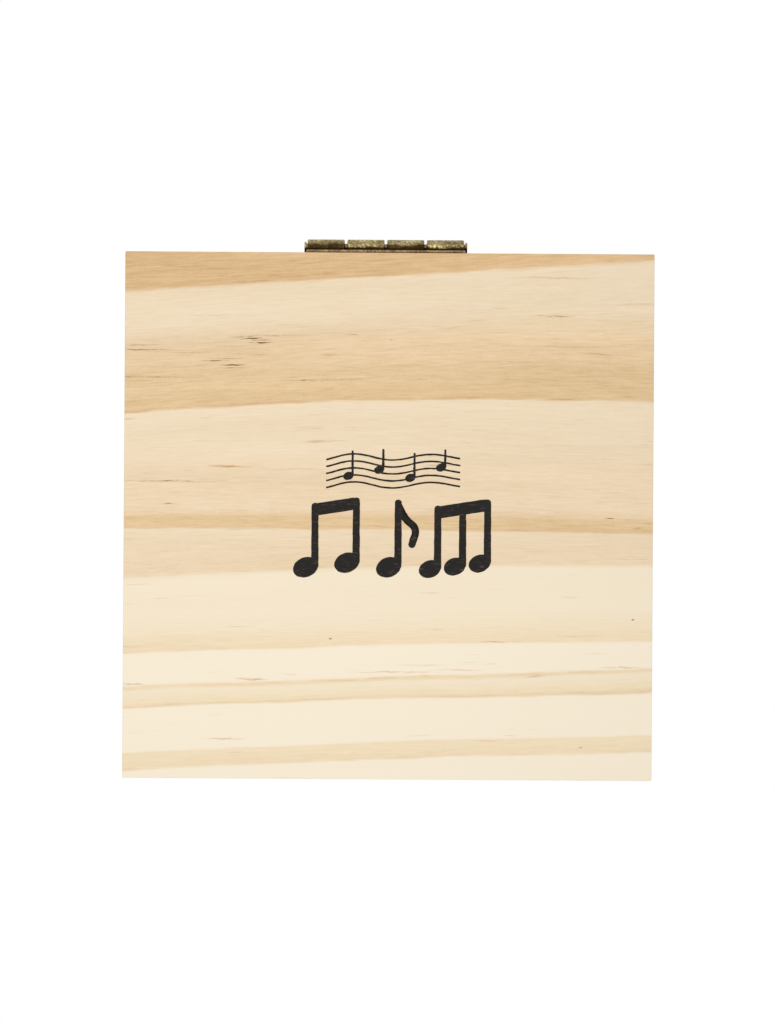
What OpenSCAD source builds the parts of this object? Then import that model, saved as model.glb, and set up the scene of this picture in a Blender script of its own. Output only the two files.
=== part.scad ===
// Wind-up music box: a square pine box with a hinged lid, a keepsake tray at the front,
// and an 18-note comb and cylinder movement under a clear cover at the back.
// +Z is up, +Y is the hinge side, and the origin is under the middle of the whole box.

/* [Box] */
// Width of the box and lid, left to right
box_w = 100; // [96:1:140]
// Depth of the box and lid, front to back
box_d = 99.5; // [90:0.5:140]
// Height of the four walls
case_h = 46.5; // [43:0.5:60]
// Thickness of the four walls
wall_t = 8; // [6:0.5:8]
// Thickness of the solid lid board
lid_t = 9; // [8.5:0.5:14]
// Thickness of the floor board that carries the movement
floor_t = 4; // [3:0.5:5]
// Height of the recess under the floor, where the key turns, if the room above allows it
recess_h = 14; // [12.5:0.5:16]
// How far the floor board is let into the walls
floor_groove = 3; // [1:0.5:4]
// Number of fingers in each corner joint
finger_count = 5; // [3:2:9]
// Chamfer on the outer edges of the wood
edge_break = 0.5; // [0.2:0.1:1]
// Diameter of the round pads under the corners
foot_d = 7.5; // [5:0.5:7.5]
// Thickness of the pads under the corners
foot_h = 1.5; // [1:0.25:3]

/* [Inside] */
// Depth of the keepsake tray, front to back, if the movement leaves room for it
tray_d = 30; // [20:0.5:32.5]
// Thickness of the board between tray and movement
divider_t = 5; // [3:0.5:5]
// How far the divider is let into the side walls
divider_groove = 2; // [1:0.5:3]
// Thickness of the felt that lines the tray
felt_t = 1; // [0.6:0.1:2]
// Thickness of the clear cover over the movement
pane_t = 2; // [1.5:0.25:2.5]
// Height of the clear cover's underside above the floor
pane_z = 23.8; // [23.8:0.1:24.5]
// Width of the finger notch in the clear cover
notch_w = 18; // [12:1:24]
// Side of the square strips that the cover rests on
ledge_w = 3; // [2:0.5:4]
// Least gap between the clear cover and the lid
cover_gap = 0.3; // [0.2:0.1:2]
// Least gap between the movement and the boards around it
bay_gap = 0.4; // [0.3:0.1:1.5]

/* [Hinge] */
// Width of the hinge, along its pin
hinge_w = 30; // [26:1:40]
// Height of each hinge leaf, from its edge to the pin's axis
leaf_h = 8; // [7:0.25:8]
// Thickness of the hinge leaves
leaf_t = 0.6; // [0.5:0.1:0.8]
// Outer diameter of the knuckles
knuckle_d = 3; // [2.8:0.1:3.6]
// Diameter of the hinge pin
pin_d = 1.4; // [1:0.1:1.6]
// Gap between the knuckles of the two leaves
knuckle_gap = 0.5; // [0.3:0.05:0.8]
// Bevel on the ends of the knuckles
knuckle_bevel = 0.15; // [0.05:0.05:0.25]
// Gap between the hinge barrel and the wood behind it
barrel_gap = 0.25; // [0.2:0.05:0.6]
// Sideways place of the hinge's middle
hinge_x = -0.8; // [-4:0.1:4]

/* [Movement] */
// Left to right place of the winding arbor
movement_x = -16; // [-17:0.5:-13]
// Thickness of the bedplate
bed_t = 2; // [1.5:0.25:2.5]
// Height of the cylinder's axis above the floor
axis_z = 15.5; // [15.2:0.1:15.8]
// Radius of the cylinder's shell
drum_r = 6.5; // [6:0.1:6.6]
// Height of the pins above the shell
pin_h = 0.6; // [0.4:0.05:0.65]
// Number of notes, which is the number of comb teeth
notes = 18; // [12:1:18]
// Distance from one note to the next
note_pitch = 1.15; // [0.95:0.05:1.15]
// Slot between two comb teeth
comb_slot = 0.3; // [0.2:0.05:0.4]
// Length of the lowest note's tooth
tooth_long = 13; // [12:0.5:14]
// Length of the highest note's tooth
tooth_short = 8; // [7:0.5:10]
// Thickness of the comb's teeth
tooth_t = 0.6; // [0.4:0.1:0.8]
// Clearance between the comb's tips and the pins
comb_gap = 0.12; // [0.1:0.01:0.2]
// Outer radius of the spring barrel
barrel_r = 11.4; // [11.3:0.1:11.5]
// Number of crown teeth on the barrel
crown_teeth = 42; // [36:1:44]
// Number of leaves in the cylinder's pinion
pinion_leaves = 10; // [9:1:11]
// Number of teeth on the cylinder's wheel
wheel_teeth = 48; // [44:1:50]
// Number of leaves in the governor's pinion
gov_leaves = 8; // [8:1:9]
// Number of teeth on the governor's worm wheel
worm_teeth = 24; // [22:1:26]
// Tooth size (module) of the spur wheels and the worm
tooth_m = 0.3; // [0.28:0.01:0.3]
// Radius of the fly's blades
fly_r = 3.4; // [2.8:0.1:3.4]
// Number of teeth on the ratchet wheel
ratchet_teeth = 24; // [24:12:24]
// Radial clearance of every turning fit
run_gap = 0.05; // [0.02:0.01:0.08]
// Wingspan of the winding key
key_w = 21; // [16:1:26]

/* [Hidden] */
eps = 0.01;

// Hinge: the pin's axis lies behind the back wall, level with the joint under the lid.
knuckle_r = knuckle_d / 2;
hinge_out = barrel_gap + knuckle_r;
hinge_proud = barrel_gap + knuckle_d;
case_y = -hinge_proud / 2;
back_y = case_y + box_d / 2;
front_y = case_y - box_d / 2;
joint_z = foot_h + case_h;
axis_y = back_y + hinge_out;
knuckles = 4;
knuckle_len = (hinge_w - (knuckles - 1) * knuckle_gap) / knuckles;
pin_head_t = 0.35;
pin_head_gap = 0.25;
pin_head_d = pin_d + 0.6;
hinge_screw_len = 6;
hinge_screw_r = 0.68;
hinge_screw_head_r = 1.3;
sink_r = hinge_screw_head_r + 0.1;
sink_h = min(0.5, leaf_t - 0.05);

// Arbor, barrel and the crown teeth that drive the cylinder. The movement has its own frame:
// the winding arbor's axis is its origin, and the top of the floor is z = 0.
arbor_r = 1.75;
square_s = 2.4;
barrel_z = bed_t + 1.2;
barrel_wall = 0.8;
crown_r0 = barrel_r - 1.1;
crown_r1 = barrel_r - 0.1;
crown_pitch_r = (crown_r0 + crown_r1) / 2;
crown_m = 2 * crown_pitch_r / crown_teeth;
crown_add = 0.82 * crown_m;
crown_ded = 1.07 * crown_m;
pinion_r = crown_m * pinion_leaves / 2;
crown_pitch_z = axis_z - pinion_r;
barrel_top = crown_pitch_z - crown_ded;
pinion_x = crown_pitch_r;
pinion_w = crown_r1 - crown_r0 + 0.4;

// Cylinder, its bearings and its wheel, from left to right
cyl_arbor_r = 1;
left_x = barrel_r + 1;
bearing_t = 1.2;
bearing_r = 2.4;
bearing_foot = 6.5;
bearing_foot_w = 5;
end_play = 0.6;
drum_x = left_x + bearing_t + end_play;
drum_margin = 1.1;
drum_len = (notes - 1) * note_pitch + 2 * drum_margin;
track_x = drum_x + drum_margin;
pin_steps = 24;
pin_r = 0.2;
tip_r = drum_r + pin_h + comb_gap;
wheel_x = drum_x + drum_len + 0.8;
wheel_w = 1.2;
wheel_r = tooth_m * wheel_teeth / 2;
wheel_add = 0.8 * tooth_m;
wheel_ded = 1.15 * tooth_m;

// Governor: a pinion and worm wheel on one arbor, and a two-start worm with the fly
gov_leaf_r = tooth_m * gov_leaves / 2;
gov_phase = 180 / gov_leaves;
gov_arbor_r = 0.5;
gov_y = wheel_r + gov_leaf_r;
worm_wheel_x = wheel_x + wheel_w + 0.9;
worm_wheel_w = 0.9;
worm_wheel_r = tooth_m * worm_teeth / 2;
right_x = worm_wheel_x + worm_wheel_w + 0.8;
worm_x = worm_wheel_x + worm_wheel_w / 2;
worm_starts = 2;
worm_r = 1.1;
worm_y = gov_y + worm_wheel_r + worm_r;
worm_lead = worm_starts * PI * tooth_m;
worm_lead_angle = atan(worm_lead / (2 * PI * worm_r));
worm_len = 20 * tooth_m;
shaft_r = 0.5;
shaft_sink = 0.9;
blade_t = 0.4;
disc_r = 2.2;
disc_t = 0.7;
fly_z = bed_t + 2.4;
disc_z = axis_z - worm_len / 2 - disc_t - 2.1;
fly_h = disc_z - fly_z - 0.3;

// Governor frame: a bent strip over the fly, with a foot towards the cylinder
frame_t = 1;
frame_x0 = worm_x - fly_r - 0.5 - frame_t;
frame_x1 = worm_x + fly_r + 0.5;
frame_y0 = drum_r + pin_h + 0.35;
frame_y1 = worm_y + fly_r + 0.2;
frame_z = axis_z + worm_wheel_r + 1.4;
frame_foot = 4.6;
frame_ear_w = 3.4;

// Stop rod: it stands beside the fly, and the closed lid holds its pad off the disc
rod_x = frame_x1 + frame_t + 1.8;
rod_r = 0.7;
rod_hole_r = rod_r + 0.4;
collar_r = 1.4;
collar_sink = 0.5;
stop_gap = 0.15;
pad_reach = 0.6;
stop_travel = 2.4;
arm_z = disc_z + disc_t + stop_gap;
arm_w = 1.6;
arm_t = 0.8;
window_h = stop_travel + 2.8;

// Comb: its teeth lie level with the cylinder's axis, on the front side
comb_margin = 0.5;
comb_w = notes * note_pitch + 2 * comb_margin;
comb_x0 = track_x - note_pitch / 2 - comb_margin;
comb_land = 6;
comb_back = tip_r + tooth_long + comb_land;
comb_body_t = 1;
comb_bottom = axis_z - tooth_t / 2 - comb_body_t;
comb_screw_in = 4;
comb_screw_back = 2.7;
comb_screw_len = 5.2;
weights = 7;
weight_h = 1.3;
base_foot = 6.4;
base_shelf = 5;
base_wall = 3.2;
base_rib_t = 1.5;
base_foot_t = 1.6;

// Bedplate: it reaches under the barrel, the comb, the governor and the stop rod
bed_x0 = -barrel_r - 3.6;
bed_x1 = rod_x + 2;
bed_y0 = -comb_back;
bed_y1 = frame_y1 + 1.8;
bed_corner = 3;
bed_screw_in = 3.5;
bed_pad_r = 2.6;
bed_pad_h = 1;
bed_slot_x0 = drum_x + 7.8;
bed_slot_x1 = drum_x + 16.8;
bed_slot_r = 1.6;
tap_depth = 1.5;

// Barrel bridge and click work
bridge_z = crown_pitch_z + crown_add + 0.6;
bridge_t = 1.5;
bridge_w = 5.6;
bridge_hub_r = 4.4;
bridge_rim = 0.6;
post_r = 2.2;
post_y = barrel_r + post_r + 0.4;
post_tap = 5;
ratchet_r = 4.6;
ratchet_t = 1.2;
ratchet_z = bridge_z + bridge_t + 0.2;
click_x = -6.3;
click_y = -4.75;
click_spring_y = -9.2;
click_t = 1;
click_blade_h = 1.2;
click_foot_t = 0.3;

// Screws: the radius and height of the head, and the radius of the shank
bed_screw = [2.4, 1.4, 1.2];
bridge_screw = [2, 1.1, 0.93];
comb_screw = [2.1, 1.2, 1.05];
small_screw = [1.6, 0.9, 0.78];
click_screw = [1.5, 0.8, 0.75];
screw_slack = 0.07;
tap_slack = 0.04;
screw_end = 0.2;

// Inside of the box. The movement comes first: the tray takes the depth that it leaves, and
// the recess for the key takes the height.
fit = 0.25;
in_w = box_w - 2 * wall_t;
in_front = front_y + wall_t;
in_back = back_y - wall_t;
bay_need = bed_y1 - bed_y0 + 2 * bay_gap;
divider_y = min(in_front + tray_d, in_back - bay_need - divider_t);
bay_front = divider_y + divider_t;
divider_h = pane_z + pane_t;
recess = min(recess_h, case_h - floor_t - divider_h - cover_gap);
floor_z = foot_h + recess + floor_t;
in_h = joint_z - floor_z;
movement_y = (bay_front + in_back) / 2 - (bed_y0 + bed_y1) / 2;

// Finger notch in the cover: an arc of radius notch_r that is notch_w wide and notch_h deep
notch_h = notch_w / 4;
notch_r = (notch_w * notch_w / 4 + notch_h * notch_h) / (2 * notch_h);

// Winding key, which hangs in the recess
key_r = 4;
key_t = 1.6;
key_hub_r = 3;
key_top = -floor_t - 2;
key_z = -floor_t - recess + 1.4 + key_r;
key_web = 2.4;
key_hub_end = key_z + 0.6;
arbor_end = key_hub_end + 1;

pine = [0.93, 0.83, 0.66];
pine_edge = [0.88, 0.75, 0.56];
plywood = [0.82, 0.68, 0.48];
brass = [0.71, 0.60, 0.33];
aged_brass = [0.56, 0.47, 0.30];
steel = [0.70, 0.71, 0.73];
blued = [0.25, 0.29, 0.38];
zinc = [0.62, 0.63, 0.64];
dark_felt = [0.22, 0.09, 0.10];

// ---------------------------------------------------------------- shared shapes
module at_movement() {
    translate([movement_x, movement_y, floor_z]) children();
}

module along_x(x, y = 0, z = axis_z) {
    translate([x, y, z]) rotate([0, 90, 0]) children();
}

module ring(r_out, r_in, h) {
    difference() {
        cylinder(r = r_out, h = h, $fn = 48);
        translate([0, 0, -eps]) cylinder(r = r_in, h = h + 2 * eps, $fn = 48);
    }
}

// A slotted screw, head up, with the underside of its head at z = 0
module screw(size, length) {
    head_r = size[0];
    slot = head_r / 4;
    difference() {
        union() {
            cylinder(r = head_r, h = size[1], $fn = 32);
            translate([0, 0, -length]) cylinder(r = size[2], h = length + eps, $fn = 24);
        }
        translate([-head_r - eps, -slot / 2, size[1] * 0.5])
            cube([2 * head_r + 2 * eps, slot, size[1]]);
    }
}

// Clearance hole for such a screw, from depth below z = 0 up to z = height
module screw_hole(size, depth, height, slack = screw_slack) {
    translate([0, 0, -depth - eps]) cylinder(r = size[2] + slack, h = depth + height + 2 * eps, $fn = 24);
}

// A flat-headed wood screw, its head flush with z = 0
module countersunk_screw(head_r, shank_r, length, slot = 0.35) {
    difference() {
        union() {
            translate([0, 0, -head_r + shank_r])
                cylinder(r1 = shank_r, r2 = head_r, h = head_r - shank_r, $fn = 24);
            translate([0, 0, -length])
                cylinder(r = shank_r, h = length - head_r + shank_r + eps, $fn = 24);
        }
        translate([-head_r, -slot / 2, -slot]) cube([2 * head_r, slot, slot + eps]);
    }
}

function polar(r, a) = [r * cos(a), r * sin(a)];

// Angle that an involute of base radius rb has turned through at radius r
function roll(r, rb) = r <= rb ? 0 : let (p = acos(rb / r)) tan(p) * 180 / PI - p;

// Outline of a spur wheel with involute flanks. slack is the play taken from each tooth.
function wheel_outline(teeth, m, add, ded, slack = 0.06, angle = 20) =
    let (
        r = m * teeth / 2,
        rb = r * cos(angle),
        r0 = r - ded,
        r1 = r + add,
        half = 90 / teeth - slack / 2 / r * 180 / PI + roll(r, rb),
        radii = [r0, max(r0 + eps, rb), r, r1]
    )
    [for (i = [0:teeth - 1], side = [-1, 1], k = [0:3])
        let (q = side < 0 ? radii[k] : radii[3 - k])
        polar(q, i * 360 / teeth + side * (half - roll(q, rb)))];

module spur(teeth, m, h, add, ded, slack = 0.06) {
    linear_extrude(h) polygon(wheel_outline(teeth, m, add, ded, slack));
}

// ---------------------------------------------------------------- wooden box
module chamfered_board(w, d, c) {
    polygon([
        [-w / 2 + c, -d / 2], [w / 2 - c, -d / 2], [w / 2, -d / 2 + c], [w / 2, d / 2 - c],
        [w / 2 - c, d / 2], [-w / 2 + c, d / 2], [-w / 2, d / 2 - c], [-w / 2, -d / 2 + c]
    ]);
}

module case_outline() {
    translate([0, case_y, foot_h]) linear_extrude(case_h) chamfered_board(box_w, box_d, edge_break);
}

module floor_block() {
    translate([-in_w / 2 - floor_groove, in_front - floor_groove, floor_z - floor_t])
        cube([in_w + 2 * floor_groove, in_back - in_front + 2 * floor_groove, floor_t]);
}

module divider_block() {
    translate([-in_w / 2 - divider_groove, divider_y, floor_z])
        cube([in_w + 2 * divider_groove, divider_t, divider_h]);
}

// The fingers of one family, in all four corners: even ones belong to front and back
module corner_fingers(odd) {
    finger_h = case_h / finger_count;
    for (i = [odd:2:finger_count - 1], sx = [-1, 1], y = [front_y, in_back])
        translate([sx > 0 ? box_w / 2 - wall_t : -box_w / 2, y, foot_h + i * finger_h])
            cube([wall_t, wall_t, finger_h]);
}

module long_wall(y) {
    difference() {
        intersection() {
            translate([-box_w / 2, y, foot_h]) cube([box_w, wall_t, case_h]);
            case_outline();
        }
        corner_fingers(1);
        floor_block();
    }
}

module front_wall() {
    color(pine) long_wall(front_y);
}

module back_wall() {
    color(pine) difference() {
        long_wall(in_back);
        hinge_screw_places(-1) hinge_screw_hole();
    }
}

module side_wall(x) {
    difference() {
        intersection() {
            translate([x, front_y, foot_h]) cube([wall_t, box_d, case_h]);
            case_outline();
        }
        corner_fingers(0);
        floor_block();
        divider_block();
    }
}

module left_wall() {
    color(pine_edge) side_wall(-box_w / 2);
}

module right_wall() {
    color(pine_edge) side_wall(box_w / 2 - wall_t);
}

module floor_panel() {
    color(plywood) difference() {
        floor_block();
        at_movement() {
            translate([0, 0, -floor_t - eps]) cylinder(r = arbor_r + 1, h = floor_t + 2 * eps, $fn = 48);
            bedplate_screw_places() screw_hole(bed_screw, floor_t, 0, 0.15);
            translate([rod_x, worm_y, -floor_t - eps])
                cylinder(r = rod_hole_r, h = floor_t + 2 * eps, $fn = 32);
        }
    }
}

module feet() {
    inset = edge_break + foot_d / 2;
    color([0.13, 0.13, 0.13]) for (sx = [-1, 1], y = [front_y + inset, back_y - inset])
        translate([sx * (box_w / 2 - inset), y, 0]) cylinder(d = foot_d, h = foot_h, $fn = 48);
}

module divider() {
    color(pine_edge) divider_block();
}

module tray_felt() {
    color(dark_felt) translate([-in_w / 2 + fit, in_front + fit, floor_z])
        cube([in_w - 2 * fit, divider_y - in_front - 2 * fit, felt_t]);
}

module cover_ledges() {
    run = in_back - bay_front;
    color(pine_edge) for (x = [-in_w / 2, in_w / 2 - ledge_w])
        translate([x, bay_front, floor_z + pane_z - ledge_w]) cube([ledge_w, run, ledge_w]);
}

module cover_pane() {
    color([0.85, 0.92, 0.93, 0.35]) difference() {
        translate([-in_w / 2 + fit, bay_front + fit, floor_z + pane_z])
            cube([in_w - 2 * fit, in_back - bay_front - 2 * fit, pane_t]);
        // a shallow round notch, to lift the cover with a finger
        translate([0, bay_front + fit + notch_h - notch_r, floor_z + pane_z - eps])
            cylinder(r = notch_r, h = pane_t + 2 * eps, $fn = 64);
        at_movement() translate([rod_x, worm_y, pane_z - eps])
            cylinder(r = rod_hole_r, h = pane_t + 2 * eps, $fn = 32);
    }
}

// A board with a small chamfer along all its edges
module lid() {
    color(pine) difference() {
        translate([0, case_y, joint_z]) intersection() {
            linear_extrude(lid_t) chamfered_board(box_w, box_d, edge_break);
            translate([0, box_d / 2, lid_t / 2]) rotate([90, 0, 0]) linear_extrude(box_d)
                chamfered_board(box_w, lid_t, edge_break);
            translate([-box_w / 2, 0, lid_t / 2]) rotate([90, 0, 90]) linear_extrude(box_w)
                chamfered_board(box_d, lid_t, edge_break);
        }
        hinge_screw_places(1) hinge_screw_hole();
    }
}

// ---------------------------------------------------------------- hinge
// Screw places of one leaf, their axes along +Y and z = 0 on the leaf's outer face
module hinge_screw_places(side) {
    for (sx = [-1, 1])
        translate([hinge_x + sx * hinge_w * 0.32, back_y + leaf_t, joint_z + side * leaf_h * 0.56])
            rotate([-90, 0, 0]) children();
}

module hinge_screw_hole() {
    translate([0, 0, -hinge_screw_len - 0.3])
        cylinder(r = hinge_screw_r + 0.04, h = hinge_screw_len + 1, $fn = 24);
}

// Section of a knuckle and the neck that joins it to its plate, seen along the pin
module knuckle_section(z0) {
    difference() {
        union() {
            circle(r = knuckle_r, $fn = 48);
            polygon([
                [-hinge_out, z0 + eps], [-hinge_out + leaf_t, z0 + eps], [-knuckle_r * 0.45, knuckle_r * 0.8],
                [-knuckle_r * 0.9, knuckle_r * 0.1], [-hinge_out + 0.1, knuckle_r * 0.55]
            ]);
        }
        circle(r = pin_d / 2 + run_gap, $fn = 48);
    }
}

// What the bevel takes off the end of a knuckle, its axis along +Z
module knuckle_end() {
    rotate_extrude($fn = 48) polygon([
        [knuckle_r - knuckle_bevel - eps, -eps], [knuckle_r + eps, -eps],
        [knuckle_r + eps, knuckle_bevel + eps]
    ]);
}

// One leaf: a plate on the wood, with a bent neck that carries each of its knuckles
module hinge_leaf(side, first) {
    x0 = hinge_x - hinge_w / 2;
    z0 = knuckle_r + 0.3;
    difference() {
        union() {
            translate([x0, back_y, side > 0 ? joint_z + z0 : joint_z - leaf_h])
                cube([hinge_w, leaf_t, leaf_h - z0]);
            for (i = [first:2:knuckles - 1])
                translate([x0 + i * (knuckle_len + knuckle_gap), axis_y, joint_z])
                    mirror([0, 0, side > 0 ? 0 : 1]) rotate([90, 0, 90])
                        linear_extrude(knuckle_len) knuckle_section(z0);
        }
        for (i = [first:2:knuckles - 1]) {
            start = x0 + i * (knuckle_len + knuckle_gap);
            along_x(start, axis_y, joint_z) knuckle_end();
            along_x(start + knuckle_len, axis_y, joint_z) mirror([0, 0, 1]) knuckle_end();
        }
        hinge_screw_places(side) {
            translate([0, 0, -leaf_t - eps])
                cylinder(r = hinge_screw_r + 0.07, h = leaf_t + 2 * eps, $fn = 24);
            translate([0, 0, -sink_h])
                cylinder(r1 = sink_r - sink_h, r2 = sink_r, h = sink_h + eps, $fn = 24);
        }
    }
}

module hinge_leaf_lid() {
    color(aged_brass) hinge_leaf(1, 0);
}

module hinge_leaf_case() {
    color(aged_brass) hinge_leaf(-1, 1);
}

// The pin, with both ends flattened into heads just clear of the outer knuckles
module hinge_pin() {
    reach = hinge_w / 2 + pin_head_gap;
    color(aged_brass) {
        along_x(hinge_x - reach, axis_y, joint_z) cylinder(d = pin_d, h = 2 * reach, $fn = 32);
        for (x = [hinge_x - reach - pin_head_t, hinge_x + reach])
            along_x(x, axis_y, joint_z) cylinder(d = pin_head_d, h = pin_head_t, $fn = 32);
    }
}

module hinge_screws(side) {
    hinge_screw_places(side) countersunk_screw(hinge_screw_head_r, hinge_screw_r, hinge_screw_len);
}

module hinge_screws_lid() {
    color(aged_brass) hinge_screws(1);
}

module hinge_screws_case() {
    color(aged_brass) hinge_screws(-1);
}

// ---------------------------------------------------------------- bedplate and bearings
module bedplate_screw_places() {
    for (p = [
        [bed_x0 + bed_screw_in, bed_y0 + bed_screw_in],
        [bed_x1 - bed_screw_in, bed_y0 + bed_screw_in],
        [bed_slot_x0, bed_y1 - bed_screw_in]
    ]) translate([p.x, p.y, 0]) children();
}

module bedplate_outline() {
    difference() {
        union() {
            translate([bed_x0 + bed_corner, bed_y0])
                square([bed_x1 - bed_x0 - 2 * bed_corner, bed_y1 - bed_y0]);
            translate([bed_x0, bed_y0 + bed_corner])
                square([bed_x1 - bed_x0, bed_y1 - bed_y0 - 2 * bed_corner]);
            for (x = [bed_x0 + bed_corner, bed_x1 - bed_corner])
                for (y = [bed_y0 + bed_corner, bed_y1 - bed_corner])
                    translate([x, y]) circle(r = bed_corner, $fn = 48);
        }
        // the slot below the cylinder, as in a cast plate
        translate([bed_slot_x0, -bed_slot_r]) square([bed_slot_x1 - bed_slot_x0, 2 * bed_slot_r]);
        for (x = [bed_slot_x0, bed_slot_x1]) translate([x, 0]) circle(r = bed_slot_r, $fn = 32);
    }
}

module bedplate() {
    color(zinc) at_movement() difference() {
        union() {
            linear_extrude(bed_t) bedplate_outline();
            for (s = [-1, 1]) translate([0, s * post_y, bed_t - eps])
                cylinder(r = post_r, h = bridge_z - bed_t + eps, $fn = 48);
            bedplate_screw_places() cylinder(r = bed_pad_r, h = bed_t + bed_pad_h, $fn = 48);
        }
        translate([0, 0, -eps]) cylinder(r = arbor_r + run_gap, h = bed_t + 2 * eps, $fn = 48);
        for (s = [-1, 1]) translate([0, s * post_y, bridge_z])
            screw_hole(bridge_screw, post_tap, 0, tap_slack);
        bedplate_screw_places() screw_hole(bed_screw, 0, bed_t - screw_end, tap_slack);
        translate([rod_x, worm_y, -eps]) cylinder(r = rod_r + run_gap, h = bed_t + 2 * eps, $fn = 32);
        translate([worm_x, worm_y, bed_t - shaft_sink - 0.1])
            cylinder(r = shaft_r + run_gap, h = shaft_sink + 0.1 + eps, $fn = 24);
        bearing_screw_places() screw_hole(small_screw, tap_depth, 0, tap_slack);
        governor_screw_places() screw_hole(small_screw, tap_depth, 0, tap_slack);
    }
}

module bedplate_screws() {
    color(steel) at_movement() bedplate_screw_places() translate([0, 0, -floor_t]) mirror([0, 0, 1])
        screw(bed_screw, floor_t + bed_t - 2 * screw_end);
}

module bearing_screw_places() {
    for (x = [left_x + bearing_foot - 2, right_x - bearing_foot + bearing_t + 2])
        translate([x, 0, bed_t]) children();
}

// An upright with a round head round the arbor and a foot turned under the cylinder
module bearing(x, foot_dir) {
    foot_x = foot_dir > 0 ? x : x + bearing_t - bearing_foot;
    difference() {
        union() {
            along_x(x) cylinder(r = bearing_r, h = bearing_t, $fn = 48);
            translate([x, 0, bed_t]) rotate([90, 0, 90]) linear_extrude(bearing_t) polygon([
                [-bearing_foot_w / 2, 0], [bearing_foot_w / 2, 0],
                [bearing_r - 0.2, axis_z - bed_t - 0.8], [-bearing_r + 0.2, axis_z - bed_t - 0.8]
            ]);
            translate([foot_x, -bearing_foot_w / 2, bed_t]) cube([bearing_foot, bearing_foot_w, bearing_t]);
        }
        along_x(x - eps) cylinder(r = cyl_arbor_r + run_gap, h = bearing_t + 2 * eps, $fn = 48);
        bearing_screw_places() screw_hole(small_screw, 0, bearing_t);
    }
}

module left_bearing() {
    color(zinc) at_movement() bearing(left_x, 1);
}

module right_bearing() {
    color(zinc) at_movement() bearing(right_x, -1);
}

module bearing_screws() {
    color(steel) at_movement() bearing_screw_places() translate([0, 0, bearing_t])
        screw(small_screw, bearing_t + tap_depth - screw_end);
}

// ---------------------------------------------------------------- spring barrel
module spring_barrel() {
    step = 360 / crown_teeth;
    tooth_low = 1.85 * crown_m;
    tooth_high = 0.97 * crown_m;
    tooth_h = crown_add + crown_ded;
    color(brass) at_movement() difference() {
        union() {
            translate([0, 0, barrel_z]) cylinder(r = barrel_r, h = barrel_top - barrel_z, $fn = 96);
            for (i = [0:crown_teeth - 1]) rotate([0, 0, (i + 0.5) * step])
                translate([crown_r0, 0, barrel_top - eps]) rotate([90, 0, 90])
                    linear_extrude(crown_r1 - crown_r0) polygon([
                        [-tooth_low / 2, 0], [tooth_low / 2, 0],
                        [tooth_high / 2, tooth_h + eps], [-tooth_high / 2, tooth_h + eps]
                    ]);
        }
        translate([0, 0, barrel_z - eps])
            cylinder(r = barrel_r - barrel_wall, h = barrel_top - barrel_z - barrel_wall, $fn = 96);
        translate([0, 0, barrel_z]) cylinder(r = arbor_r + run_gap, h = barrel_top, $fn = 48);
    }
}

module barrel_cap() {
    color(brass) at_movement() translate([0, 0, barrel_z])
        ring(barrel_r - barrel_wall - 0.02, arbor_r + run_gap, barrel_wall);
}

// The spring as it lies wound: a flat strip in an even spiral
module mainspring() {
    turns = 5;
    steps = 20;
    strip = 0.35;
    r0 = arbor_r + 0.6;
    r1 = barrel_r - barrel_wall - 0.3 - strip;
    n = turns * steps;
    spiral = function (i, off) polar(r0 + (r1 - r0) * i / n + off, i * 360 / steps);
    color(blued) at_movement() translate([0, 0, barrel_z + barrel_wall])
        linear_extrude(barrel_top - barrel_z - 2 * barrel_wall - 0.3)
            polygon([for (i = [0:n]) spiral(i, 0), for (i = [n:-1:0]) spiral(i, strip)]);
}

module winding_arbor() {
    color(steel) at_movement() {
        translate([0, 0, arbor_end]) cylinder(r = arbor_r, h = ratchet_z - arbor_end, $fn = 48);
        translate([-square_s / 2, -square_s / 2, ratchet_z - eps])
            cube([square_s, square_s, ratchet_t + 0.8]);
    }
}

// Butterfly key: a hub with two pierced wings
module winding_key() {
    wing_x = key_w / 2 - key_r;
    color(steel) at_movement() difference() {
        union() {
            translate([0, 0, key_hub_end]) cylinder(r = key_hub_r, h = key_top - key_hub_end, $fn = 48);
            difference() {
                for (s = [-1, 1]) {
                    translate([s * wing_x, key_t / 2, key_z]) rotate([90, 0, 0])
                        cylinder(r = key_r, h = key_t, $fn = 48);
                    translate([s > 0 ? 0 : -wing_x, -key_t / 2, key_z - key_web])
                        cube([wing_x, key_t, 2 * key_web + 0.2]);
                }
                for (s = [-1, 1]) translate([s * wing_x, key_t, key_z])
                    rotate([90, 0, 0]) cylinder(r = key_r - 1.8, h = 2 * key_t, $fn = 48);
            }
        }
        translate([0, 0, arbor_end]) cylinder(r = arbor_r + 0.02, h = key_top - arbor_end + eps, $fn = 48);
    }
}

// The bridge carries the arbor's top end, and has a wing for the click
module barrel_bridge() {
    color(zinc) at_movement() difference() {
        translate([0, 0, bridge_z]) linear_extrude(bridge_t) {
            translate([-bridge_w / 2, -post_y]) square([bridge_w, 2 * post_y]);
            for (s = [-1, 1]) translate([0, s * post_y]) circle(r = post_r + bridge_rim, $fn = 48);
            circle(r = bridge_hub_r, $fn = 48);
            polygon([[-2, 3], [click_x - 0.6, click_y + 2], [click_x + 0.4, click_y - 2.1], [-2, -9]]);
            translate([click_x, click_y]) circle(r = 2.2, $fn = 48);
        }
        translate([0, 0, bridge_z - eps]) cylinder(r = arbor_r + run_gap, h = bridge_t + 2 * eps, $fn = 48);
        for (s = [-1, 1]) translate([0, s * post_y, bridge_z]) screw_hole(bridge_screw, 0, bridge_t);
        for (p = [[click_x, click_y], [0, click_spring_y]]) translate([p.x, p.y, bridge_z])
            screw_hole(click_screw, 0, bridge_t, tap_slack);
    }
}

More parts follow.
